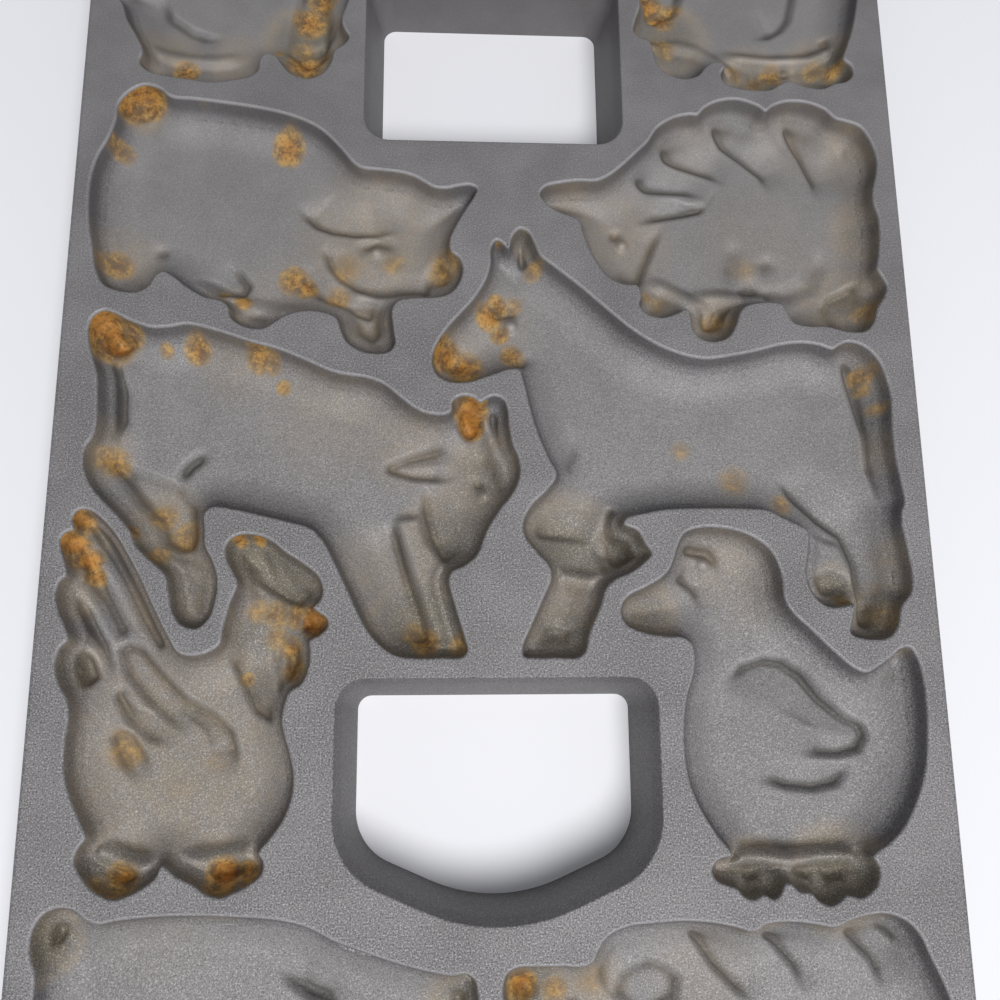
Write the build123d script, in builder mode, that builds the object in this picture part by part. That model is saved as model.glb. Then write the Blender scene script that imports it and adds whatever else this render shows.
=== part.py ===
"""Cast iron cookie mold: one plate with ten animal cavities and two hand windows.

The real plate is a single casting. It is divided here where its forms meet: a
mold for each animal, with its share of the flat deck and the cup that hangs
under it, a frame round each hand window, and the skirt that the plate stands on.

Millimetres, +Z up, cavities open upwards. X runs across the plate and Y along
it, and the origin is the centre of the footprint on the table.
"""
from build123d import *
from math import atan2, cos, degrees, radians, tan
import os

# Plate
plate_height = 22.0         # table to deck top
deck_thickness = 4.5
plate_corner = 9.0          # corner radius seen from above
edge_round = 1.2            # rounding of the deck's top edge
end_margin = 5.5            # flat land beyond the last figures
skirt_wall = 2.8
skirt_draft = 2.0           # degrees, narrower towards the table
skirt_gap = 0.2             # between the skirt and the widest cup

# Cavities, and the cups that hold them under the deck
cavity_depth = 9.5
cavity_draft = 13.0         # degrees, narrower towards the floor
cup_lip = 1.0               # cup's outside beyond the cavity's edge
cup_draft = 5.0             # degrees, on the cup's outside
cup_floor = 4.6             # iron under the main floor

# Relief on the cavity floors
near_drop = 1.8             # ears, wings and tails lie this much deeper
far_rise = 3.0              # far legs stay this much shallower
relief_draft = 25.0         # degrees, on the walls of the relief
eye_rise = 1.2
eye_radius = 1.7
eye_sides = 8
eye_draft = 35.0            # degrees

# Hand windows: the lower a D with its straight side towards the middle, the upper a rounded square
window_draft = 9.0          # degrees, narrower towards the table
frame_wall = 2.8
window_corner = 7.0         # radius of the square corners
window_shoulder = 17.0      # radius where the sides turn into the bow
window_bow = 44.0           # radius at the middle of the bow
windows = {
    "lower": dict(width=76.0, straight=-69.5, shoulder=-112.0, tip=-128.5),
    "upper": dict(width=69.0, straight=70.5, far=122.8),
}

# Rounding of the figures
corner_share = 0.45         # part of the shorter run that a rounded corner takes
least_radius = 0.3
crisp_excess = 0.2          # how far an uncut corner may stand out from its rounding
least_cut = 1.2             # smallest rounding that is cut across

# Each figure's outline at the deck's top, anticlockwise, and its relief and eyes
figures = {
    "rabbit": dict(
        outline=[
            (-95.5, 92.5), (-91.5, 88.6), (-79, 86.8), (-62.5, 88.5), (-62, 95.5), (-57, 97), (-54.5, 90),
            (-49.5, 87), (-44.5, 90), (-43, 97.5), (-38.3, 101.5), (-41.5, 106.3),
            (-34, 127), (-18, 131), (-9, 138), (-9.5, 147), (-22, 155), (-33, 159), (-49.5, 176),
            (-58.5, 175.2), (-55.5, 168.5), (-59, 166.5), (-65, 169), (-70.5, 164), (-56, 150),
            (-76, 146), (-94, 133),
            (-97, 124), (-104, 120), (-103.5, 112), (-98.5, 109),
        ],
        near=[
            [(-55.5, 94), (-50, 89.5), (-44, 92), (-41, 104), (-41, 113), (-57, 113)],
        ],
        far=[],
        eyes=[(-22, 146)],
    ),
    "turkey": dict(
        outline=[
            (38, 107), (45.5, 95.5), (53, 91), (59.5, 96.5), (64, 96), (62, 90.5),
            (68, 87.5), (78, 90), (88, 88.8), (98.5, 91.5), (98, 98), (104, 125),
            (103, 145), (95, 161), (82, 172), (68, 175), (56, 169), (48, 157), (38, 152),
            (31, 157), (27, 165), (17, 169), (9, 163), (10.5, 154), (18, 149), (17.5, 143),
            (27, 132), (37, 127), (41, 116),
        ],
        near=[
            [(85, 124), (80, 136), (66, 141), (53, 134), (50, 118), (58, 106), (72, 103.5), (80, 112)],
        ],
        far=[],
        eyes=[(19, 160)],
    ),
    "pig": dict(
        outline=[
            (-91, 87), (-98.5, 82), (-98.5, 71), (-104.5, 60), (-100.5, 29),
            (-91, 25.5), (-84.5, 33), (-76.5, 25.5), (-69, 25), (-65, 17), (-58, 17), (-50, 22.5),
            (-41, 20), (-37, 12), (-25, 10), (-26.5, 22.5), (-13, 26), (-7.5, 34), (-12.5, 40),
            (-4, 59), (-17, 56), (-23, 61.5), (-35, 62), (-46, 73.5), (-62, 79.5),
            (-84, 81), (-87, 84.5),
        ],
        near=[
            [(-54, 52.5), (-48, 46.5), (-41, 43.5), (-33, 44), (-35, 54)],
        ],
        far=[],
        eyes=[(-30, 39.3)],
    ),
    "ram": dict(
        outline=[
            (23.5, 47.5), (29, 31.5), (36.5, 30), (39, 20.5), (49.5, 24.5), (51.5, 14.5),
            (62.5, 15.5), (65.5, 25.5), (74, 27), (77, 19.5), (97, 18), (103.5, 31),
            (100.5, 38), (102.5, 50), (101, 60), (104, 67), (101, 77.5), (91, 81.5), (83, 87),
            (74, 82), (61, 87), (54, 79), (44, 79), (40, 68.5), (28, 59.5), (18.5, 60.8), (10.8, 55.3),
        ],
        near=[
            [(35, 56), (37, 48), (46, 47.5), (56, 51), (46, 56)],
        ],
        far=[],
        eyes=[(32.5, 41.4)],
    ),
    "goat": dict(
        outline=[
            (-97, 23), (-102.5, 20), (-101, 11), (-96.5, 5), (-97.5, -9), (-101, -19),
            (-79, -45), (-77, -57), (-69, -58), (-66, -46), (-70.5, -28),
            (-44, -33.5), (-31, -60), (-22, -64.5), (-6.5, -64.5), (-11.8, -44), (-3, -39.5),
            (0, -30), (6.5, -21), (3, -9), (4, 0), (-3.8, -1), (-9, 1.5), (-12, -5), (-21, -4.8),
            (-30, 4), (-78, 19), (-88, 17),
        ],
        near=[
            [(-19, -22), (-8, -21), (-9, -13.5), (-19, -15), (-27, -19)],
        ],
        far=[
            [(-82, -60), (-62, -62), (-66, -40), (-80, -42)],
        ],
        eyes=[(-4.2, -25.4)],
    ),
    "horse": dict(
        outline=[
            (-1, 35), (-15.5, 14), (-16.5, 6), (-8.5, 2.7), (7, 7.7), (10, -9), (15, -20.5),
            (8, -27), (5.8, -35.5), (12.7, -44.5), (4.5, -65.3), (20.5, -65.3), (25.5, -55),
            (28, -45.7), (38.8, -40.2), (33, -32.5), (42, -28.3), (67, -28.3), (78, -33),
            (75.3, -45), (78.5, -54.5), (87.5, -52.5), (85, -61), (96, -61.5),
            (103, -47), (100, -31), (103, -25), (101, -14), (101.7, -2), (98.5, 11), (92, 16.2),
            (87, 13.5), (75, 15.5), (55, 9.5), (42, 12.2), (11, 38), (10.5, 44), (5, 46.8),
            (3.4, 40.8), (0.2, 44), (-3.8, 41.5),
        ],
        near=[
            [(95.5, -28.5), (99.8, -26), (98.8, 0), (96, 11), (89, 12.5)],
        ],
        far=[
            [(74, -56), (86.5, -56), (86.5, -50), (84, -36), (75, -34.5)],
        ],
        eyes=[(3.3, 18.3)],
    ),
    "rooster": dict(
        outline=[
            (-104.6, -36), (-101.5, -44), (-104.5, -49), (-100.3, -59), (-103.3, -66), (-98, -78),
            (-99.2, -93), (-92.3, -103.5), (-96, -109), (-87.5, -118.2), (-77, -116),
            (-76, -111.8), (-61.5, -118.3), (-52, -112), (-55, -107), (-47.2, -96), (-47, -85),
            (-49.7, -74), (-45, -69.5), (-43.5, -60.5), (-38, -55.8), (-42.8, -51.5),
            (-41.5, -43.5), (-53.5, -36), (-62.5, -34.3), (-65.5, -38.5), (-61.5, -46.5),
            (-64, -58), (-69, -63.5), (-76.5, -63.5), (-95.5, -29.5),
            (-101.5, -28.5),
        ],
        near=[
            [(-84, -91), (-73, -96), (-61.5, -90), (-61, -79), (-80, -64), (-87.5, -62)],
            [(-54, -48.5), (-45.5, -50), (-45, -45.5), (-52, -40), (-59, -37.5), (-62.5, -44)],
        ],
        far=[],
        eyes=[(-53.5, -56)],
    ),
    "duck": dict(
        outline=[
            (42, -40), (40.5, -46), (28.5, -52), (31, -59), (47.5, -59.5), (48, -65), (42.5, -83),
            (45, -99), (53.5, -109.3), (50, -111.3), (48.5, -116), (55.5, -119.5), (63, -120),
            (66.5, -115), (76.5, -121.8), (88.8, -118.3), (86.5, -110.5), (93, -107), (102.5, -90),
            (103.3, -73), (100.5, -61), (89, -69), (70, -51), (69, -38.5), (58, -33), (46, -33),
        ],
        near=[
            [(55, -88), (67, -96), (81, -94), (88, -82), (73, -69), (65, -64.5), (55, -69)],
            [(35, -56.5), (46.5, -56.5), (47.5, -51.5), (42, -48), (33, -54)],
        ],
        far=[],
        eyes=[(50.4, -42.4)],
    ),
    "calf": dict(
        outline=[
            (-104, -128), (-99.5, -135), (-100, -152), (-93, -165), (-90.5, -178.5), (-79, -178.5),
            (-77, -164), (-66, -159), (-49, -164), (-46, -178.5), (-35, -178.5), (-33, -160),
            (-24, -153), (-9, -151), (-4, -143), (-8, -136), (-20, -132), (-33, -132),
            (-47, -122.5), (-70, -121), (-86, -123), (-98, -118.3),
        ],
        near=[
            [(-43, -143), (-33, -148), (-29, -143), (-39, -134), (-48.5, -131)],
        ],
        far=[],
        eyes=[(-24, -140)],
    ),
    "sheep": dict(
        outline=[
            (2, -146), (12, -153), (24, -156), (32, -163), (36, -178.5), (47, -178.5), (50, -167),
            (62, -163), (80, -166), (84, -178.5), (95, -178.5), (97, -163), (103.5, -152),
            (96, -126), (88, -122.5), (76, -127), (33, -124),
            (24, -127), (19, -133.5), (6, -132.5), (0.5, -136),
        ],
        near=[
            [(25, -142), (32, -144), (40, -139), (38, -134), (31, -132), (24, -137)],
        ],
        far=[],
        eyes=[(16, -141)],
    ),
}

# Where the molds meet, along the flat lands between the figures
past_side, past_end = 130.0, 200.0      # beyond the plate's edges
head_gap = (3, 49)                      # between pig, ram and horse
muzzle_gap = (-20.5, 9)                 # between pig, horse and goat
upper_middle = (0, 80)                  # in the upper window
lower_middle = (-1, -80)                # in the lower window
seams = {
    "rabbit_turkey": [(0, past_end), upper_middle],
    "rabbit_pig": [(-past_side, 87.2), (-88, 87.2), (-74, 83.5), (-40, 80), upper_middle],
    "turkey_ram": [
        upper_middle, (33, 78), (52, 84.5), (64, 87), (75, 86.3), (84, 87.2), (95, 85), (past_side, 84),
    ],
    "pig_ram": [upper_middle, (3, 66), head_gap],
    "pig_horse": [head_gap, (-4.8, 44), (-5, 33), (-10.5, 25), muzzle_gap],
    "pig_goat": [
        muzzle_gap, (-30, 7.5), (-39, 11), (-60, 15.3), (-72, 20.6), (-90, 23), (-past_side, 26),
    ],
    "ram_horse": [
        head_gap, (12, 46.5), (20, 38), (33, 25), (46, 16.5), (56, 12.9), (61, 13.6), (68, 17.5),
        (80, 17.4), (92, 16.8), (past_side, 18),
    ],
    "goat_horse": [
        muzzle_gap, (-16, 2.5), (-7.5, 1.7), (4.5, 2.8), (6.4, -8), (9.8, -18.5), (3.8, -29),
        (1.5, -37), (0, -50), lower_middle,
    ],
    "goat_rooster": [
        lower_middle, (-34, -69), (-38, -51), (-41.8, -40.5), (-52, -34.3), (-66.6, -32.3),
        (-66.3, -40), (-64.3, -46), (-65.8, -53.5), (-68, -58.8), (-72.5, -60.2), (-77.2, -57.5),
        (-81, -49.5), (-84.5, -43), (-89.9, -34.8), (-95.7, -28.7), (-101, -25.5), (-past_side, -26),
    ],
    "horse_duck": [
        lower_middle, (25, -69), (28, -52), (33, -46.5), (38.6, -42.8), (40.5, -37), (45.5, -31.5),
        (62, -31.3), (71.5, -37), (73.3, -47), (77.2, -54.8), (83.5, -58.6), (87.3, -63.5),
        (91, -63.6), (96.5, -61.4), (101, -59.5), (past_side, -58),
    ],
    "rooster_calf": [
        (-past_side, -116), (-96, -116.3), (-90, -119.8), (-55, -119.8), (-28, -123), lower_middle,
    ],
    "duck_sheep": [
        lower_middle, (30, -121), (46, -120.8), (64, -122.6), (76, -123.9), (90, -120.7),
        (past_side, -121),
    ],
    "calf_sheep": [lower_middle, (-2, -126), (-2, -past_end)],
}


def back(name):
    """A seam taken the other way."""
    return seams[name][::-1]


# The land that goes with each mold: its seams and plate corners, anticlockwise
regions = {
    "rabbit": back("rabbit_turkey") + [(-past_side, past_end)] + seams["rabbit_pig"],
    "turkey": seams["rabbit_turkey"] + seams["turkey_ram"] + [(past_side, past_end)],
    "pig": back("rabbit_pig") + back("pig_goat") + back("pig_horse") + back("pig_ram"),
    "ram": back("turkey_ram") + seams["pig_ram"] + seams["ram_horse"],
    "goat": back("goat_horse") + seams["pig_goat"] + back("goat_rooster"),
    "horse": back("ram_horse") + seams["pig_horse"] + seams["goat_horse"] + seams["horse_duck"],
    "rooster": seams["goat_rooster"] + seams["rooster_calf"],
    "duck": back("horse_duck") + seams["duck_sheep"],
    "calf": back("rooster_calf") + [(-past_side, -past_end)] + back("calf_sheep"),
    "sheep": back("duck_sheep") + seams["calf_sheep"] + [(past_side, -past_end)],
}

# Levels above the table
deck_bottom = plate_height - deck_thickness
floor_level = plate_height - cavity_depth
cup_bottom = floor_level - cup_floor


def half_turns(points):
    """Half the turn at each corner in radians, positive to the left."""
    turns = []
    for i, point in enumerate(points):
        behind = Vector(point) - Vector(points[i - 1])
        ahead = Vector(points[(i + 1) % len(points)]) - Vector(point)
        turns.append(atan2(behind.cross(ahead).Z, behind.dot(ahead)) / 2)
    return turns


def largest_radii(points, share):
    """The radius that rounds each corner within a share of its shorter run."""
    radii = []
    for i, turn in enumerate(half_turns(points)):
        behind = (Vector(points[i]) - Vector(points[i - 1])).length
        ahead = (Vector(points[(i + 1) % len(points)]) - Vector(points[i])).length
        radii.append(share * min(behind, ahead) / tan(abs(turn)))
    return radii


def moved_outline(points, grow, radii=None):
    """An anticlockwise outline's corners, its sides moved outwards, and their rounding."""
    turns = half_turns(points)
    radii = radii or largest_radii(points, corner_share)
    corners = []
    for i, point in enumerate(points):
        along = (Vector(point) - Vector(points[i - 1])).normalized()
        outwards = along.rotate(Axis.Z, degrees(turns[i])).cross(Vector(0, 0, 1))
        corners.append(Vector(point) + outwards * (grow / cos(turns[i])))
    rounding = []
    for radius, turn, limit in zip(radii, turns, largest_radii(corners, 0.49)):
        moved = radius + (grow if turn > 0 else -grow)
        rounding.append(min(max(moved, least_radius), limit))
    return corners, rounding


def rounded_face(points, grow=0.0, radii=None):
    """An outline with its corners rounded."""
    corners, rounding = moved_outline(points, grow, radii)
    with BuildSketch(mode=Mode.PRIVATE) as outline:
        with BuildLine():
            FilletPolyline(*corners, radius=rounding, close=True)
        make_face()
    return outline.sketch


def crisp_face(points, grow=0.0):
    """An outline in straight runs, cut across each corner that stands out from its rounding."""
    corners, rounding = moved_outline(points, grow)
    runs = []
    for i, (corner, radius, turn) in enumerate(zip(corners, rounding, half_turns(corners))):
        if radius < least_cut or radius * (1 / cos(turn) - 1) < crisp_excess:
            runs.append(corner)
            continue
        cut = radius * (tan(abs(turn)) - tan(abs(turn) / 2))
        for other in (corners[i - 1], corners[(i + 1) % len(corners)]):
            runs.append(corner + (other - corner).normalized() * cut)
    with BuildSketch(mode=Mode.PRIVATE) as outline:
        with BuildLine():
            Polyline(*runs, close=True)
        make_face()
    return outline.sketch


def drafted(face, start, end, angle):
    """A block on a face that narrows with its draft from one level to another."""
    with BuildPart(mode=Mode.PRIVATE) as block:
        with BuildSketch(Plane.XY.offset(start)):
            add(face)
        extrude(amount=end - start)
        sides = block.faces() - block.faces().filter_by(Axis.Z)
        draft(sides, Plane((0, 0, start), z_dir=(0, 0, end - start)), angle)
    return block.part


def window_block(window, grow=0.0):
    """A hand window's drafted opening through the whole height, or its frame's outside."""
    half = window["width"] / 2
    if "far" in window:
        corners = [
            (-half, window["straight"]), (half, window["straight"]), (half, window["far"]),
            (-half, window["far"]),
        ]
        radii = [window_corner] * 4
    else:
        corners = [
            (-half, window["straight"]), (-half, window["shoulder"]), (0, window["tip"]),
            (half, window["shoulder"]), (half, window["straight"]),
        ]
        radii = [window_corner, window_shoulder, window_bow, window_shoulder, window_corner]
    return drafted(rounded_face(corners, grow, radii), plate_height, 0, window_draft)


def cavity(figure):
    """The space that the dough fills, with its relief and eyes."""
    with BuildSketch(mode=Mode.PRIVATE) as eye:
        RegularPolygon(eye_radius, eye_sides)
    with BuildPart(mode=Mode.PRIVATE) as dough:
        add(drafted(rounded_face(figure["outline"]), plate_height, floor_level, cavity_draft))
        for points in figure["near"]:
            add(drafted(crisp_face(points), floor_level, floor_level - near_drop, relief_draft))
        for points in figure["far"]:
            far_leg = drafted(crisp_face(points), floor_level, floor_level + far_rise, relief_draft)
            add(far_leg, mode=Mode.SUBTRACT)
        for place in figure["eyes"]:
            face = eye.sketch.moved(Location(place))
            add(drafted(face, floor_level, floor_level + eye_rise, eye_draft), mode=Mode.SUBTRACT)
    return dough.part


os.makedirs("parts", exist_ok=True)

# The plate reaches past the widest cup by the skirt
cups = {name: crisp_face(figure["outline"], cup_lip) for name, figure in figures.items()}
boxes = [cup.bounding_box() for cup in cups.values()]
deck_draft = deck_thickness * tan(radians(skirt_draft))
half_width = max(max(-box.min.X, box.max.X) for box in boxes)
half_width += skirt_gap + skirt_wall + deck_draft
half_length = max(max(-box.min.Y, box.max.Y) for box in boxes) - cup_lip + end_margin
plate_corners = [
    (-half_width, -half_length), (half_width, -half_length),
    (half_width, half_length), (-half_width, half_length),
]
plate_radii = [plate_corner] * len(plate_corners)

with BuildPart() as plate:
    top = rounded_face(plate_corners, radii=plate_radii)
    add(drafted(top, plate_height, deck_bottom, skirt_draft))
    fillet(plate.edges().group_by(Axis.Z)[-1], radius=edge_round)

for name, figure in figures.items():
    with BuildPart() as mold:
        add(plate.part)
        add(drafted(cups[name], deck_bottom, cup_bottom, cup_draft))
        with BuildSketch():
            with BuildLine():
                Polyline(*dict.fromkeys(regions[name]), close=True)
            make_face()
        extrude(amount=plate_height, mode=Mode.INTERSECT)
        for window in windows.values():
            add(window_block(window, grow=frame_wall), mode=Mode.SUBTRACT)
        add(cavity(figure), mode=Mode.SUBTRACT)
    mold.part.label = f"{name}_mold"
    export_step(mold.part, f"parts/{mold.part.label}.step")

for name, window in windows.items():
    with BuildPart() as frame:
        add(window_block(window, grow=frame_wall))
        add(window_block(window), mode=Mode.SUBTRACT)
    frame.part.label = f"{name}_window_frame"
    export_step(frame.part, f"parts/{frame.part.label}.step")

with BuildPart() as skirt:
    for wall, mode in ((0, Mode.ADD), (skirt_wall, Mode.SUBTRACT)):
        outline = rounded_face(plate_corners, -deck_draft - wall, plate_radii)
        add(drafted(outline, deck_bottom, 0, skirt_draft), mode=mode)

# The skirt comes apart at its mitred corners
for name, side_x, side_y in (
    ("right_skirt", 1, 0), ("left_skirt", -1, 0), ("back_skirt", 0, 1), ("front_skirt", 0, -1),
):
    with BuildPart() as side:
        add(skirt.part)
        for end in (-1, 1):
            corner_x, corner_y = side_x or end, side_y or end
            keep = (side_x - corner_x * abs(side_y), side_y - corner_y * abs(side_x), 0)
            mitre = Plane((corner_x * half_width, corner_y * half_length), z_dir=keep)
            split(bisect_by=mitre, keep=Keep.TOP)
    side.part.label = name
    export_step(side.part, f"parts/{name}.step")
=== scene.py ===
"""Scene of a cast iron cookie mold, lying on a pale table under soft studio light.

Each animal's solid is replaced by a casting. That is a copy of the solid with its cavity taken out, and
with a rounded rim, drafted walls and a sculpted floor in its place. A window frame's casting has the
edge of its hand hole rounded, and the skirt keeps its solids.
"""
import bpy
import bmesh
from bmesh.types import BMEdge, BMFace, BMVert
from math import hypot, inf, radians
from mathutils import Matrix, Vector
from mathutils.kdtree import KDTree


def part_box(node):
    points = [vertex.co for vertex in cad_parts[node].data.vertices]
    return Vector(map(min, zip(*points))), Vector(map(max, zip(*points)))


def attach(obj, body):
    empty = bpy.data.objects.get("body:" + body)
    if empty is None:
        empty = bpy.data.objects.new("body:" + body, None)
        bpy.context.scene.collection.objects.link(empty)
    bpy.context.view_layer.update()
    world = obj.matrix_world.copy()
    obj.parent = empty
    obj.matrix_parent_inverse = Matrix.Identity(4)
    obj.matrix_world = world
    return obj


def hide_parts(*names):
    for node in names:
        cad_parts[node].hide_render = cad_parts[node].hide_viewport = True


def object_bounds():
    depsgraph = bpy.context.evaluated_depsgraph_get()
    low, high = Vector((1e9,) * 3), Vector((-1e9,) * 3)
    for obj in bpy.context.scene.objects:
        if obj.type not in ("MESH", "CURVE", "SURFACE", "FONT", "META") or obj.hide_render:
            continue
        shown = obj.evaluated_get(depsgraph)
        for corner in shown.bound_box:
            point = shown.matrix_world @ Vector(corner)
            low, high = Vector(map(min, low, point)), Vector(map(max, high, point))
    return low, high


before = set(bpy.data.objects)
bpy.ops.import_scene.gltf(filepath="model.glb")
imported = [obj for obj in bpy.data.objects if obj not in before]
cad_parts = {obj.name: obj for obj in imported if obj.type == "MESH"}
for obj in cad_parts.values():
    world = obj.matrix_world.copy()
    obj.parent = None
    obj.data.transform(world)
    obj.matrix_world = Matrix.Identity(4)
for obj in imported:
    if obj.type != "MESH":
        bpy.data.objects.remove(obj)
cad_low, cad_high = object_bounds()

mm = 0.001
deck = cad_high.z                       # top of the plate
thinnest = 1.5                          # iron left under the deepest relief, in millimetres
lowest_floor = min(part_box(name)[0].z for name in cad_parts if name.endswith("_mold")) + thinnest * mm

# Camera, where the photograph was taken from, turned in degrees
camera_place = (-11.9 * mm, -77.8 * mm, deck + 239.0 * mm)
camera_turn = (12.09, -2.95, -0.44)
camera_lens = 36.0
sensor_width = 36.0
nearest_seen = 0.01

# Light, in metres and watts: a pale room, one round lamp and the table
room_colour = (0.93, 0.95, 1.0, 1)
room_strength = 0.3
lamp_place = (0.2, -0.6, 1.15)
lamp_target = (0, -0.02, 0)
lamp_size = 0.6
lamp_power = 15.5
table_side = 3.0
table_roughness = 0.9

# Rim and walls of a cavity, in millimetres: distance in from the outline, and depth under the deck
rim_profile = [
    (-0.75, 0.0), (-0.6, 0.0), (-0.38, 0.05), (-0.15, 0.2), (0.02, 0.45), (0.14, 0.85),
    (0.3, 1.6), (0.48, 2.5), (0.68, 3.4), (0.94, 4.2), (1.3, 4.9), (1.75, 5.5), (2.3, 6.1),
]
wall_inset, wall_bottom = rim_profile[-1]
foot_level = deck - wall_bottom * mm
rim_step = 0.6                          # between the vertices of a rim
rim_sheen_and_wear = -0.45                        # painted highlight with some rubbed wear on the rim, written as a hollow
rim_sheen_depth = 0.5                       # how deep the rim's painted highlight and wear reach
foot_merge = 0.12                       # vertices at the wall's foot that are nearer become one
foot_samples = 8                        # places on each edge of the foot that distances go to
hole_rounding = 0.4                     # edge of a hand hole
hole_segments = 3

# Room for the walls where two parts of an outline come near each other, in millimetres
probe_step = 0.2                        # how finely the room is felt out
clear_share = 0.86                      # a wall that comes this far in keeps this share clear
clear_slack = 0.12                      # less this much
room_change = 0.3                       # most that the room changes from one vertex to the next
room_passes = 8                         # times that limit is spread along the rim

# Floor of a cavity, in millimetres
cavity_depth = 9.5
bowl_reach = 8.0                        # how far the floor's curve comes in from the wall
lobe_reach = 5.0                        # how much shorter that curve is in a lobe
bowl_curve = 2.1
floor_spacing = 0.5                     # side of a floor's small faces
bowl_passes = 6                         # times the floor is smoothed before the relief
relief_passes = 3                       # times it is smoothed after that
round_passes = 24                       # times more to find the floor round a hollow
hollow_passes = 2                       # times the hollows are evened out

# Relief, in millimetres: how it starts at the wall, slopes and ends
edge_start = 2.6                        # an edge has its full depth this far from the wall
other_start = 1.2                       # and other relief this far
edge_step = 1.4                         # width of the step at an edge
edge_curve = 1.1                        # how hollow the slope behind that step is
lobe_lap = 0.4                          # how far a lobe's slope starts outside its line
end_at_rim = 3.5                        # a line that ends nearer to the wall runs on under it
run_under = 8                           # how far it runs on there
fade_under = 1.0                        # length over which it fades out there
free_fade = 0.4                         # share of its length over which a free end fades out
free_fade_least = 3.0
free_fade_most = 8.0

# Spots of rust and soot, in millimetres
spot_distance = 9                       # farthest that a spot's middle lies from a piece that it paints
spot_spread = 1.7                       # square of a spot's reach, measured in its radius
spots_under = 0.6                       # how deep under the deck the spots begin

# Finest differences in metres, how upright the normal of a level face is, and the angle of a crease
same_place = 1e-6
same_level = 1e-5
same_cut = 1e-7
level_face = 0.999                      # a cavity's floor in the solid
floor_face = 0.95                       # a small face that isn't part of a wall
crease = radians(38)

# Sizes of the iron's grain and stains
fine_grain = 0.4 * mm
coarse_grain = 1.3 * mm
crumb_size = 1.1 * mm
torn_size = 3.5 * mm
patch_size = 4 * mm
blotch_size = 22 * mm
grain_height = 0.2 * mm
grain_from, grain_to = 0.12, -0.06      # the grain and its painted glints grow stronger from the far side of the plate to the near side
pale_from, pale_to = 5, 8               # painted light: the iron is painted paler between these depths, in millimetres, to lift the shade in a cavity

# Colours, from 0 to 255
table_white = (236, 236, 240)
iron_dark = (116, 114, 115)
iron_pale = (130, 128, 129)
grain_speck = (190, 188, 190)
grain_pit = (66, 64, 64)
# Painted light and shade: paler floors, shade on steep walls, shade with grime in hollows, and a highlight
# with wear on rims
floor_painted_light = (158, 156, 155)
wall_painted_shade = (72, 70, 72)
hollow_grime_and_shade = (66, 62, 58)
rim_highlight_and_wear = (178, 176, 178)
soot_dark = (82, 75, 64)
soot_pale = (140, 132, 116)
soot_thin = (186, 162, 126)
soot_speck = (176, 168, 150)
rust_halo = (158, 136, 98)
rust_dark = (92, 64, 36)
rust_pale = (186, 148, 84)
rust_bloom = (188, 124, 42)
rust_flake = (88, 58, 28)

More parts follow.
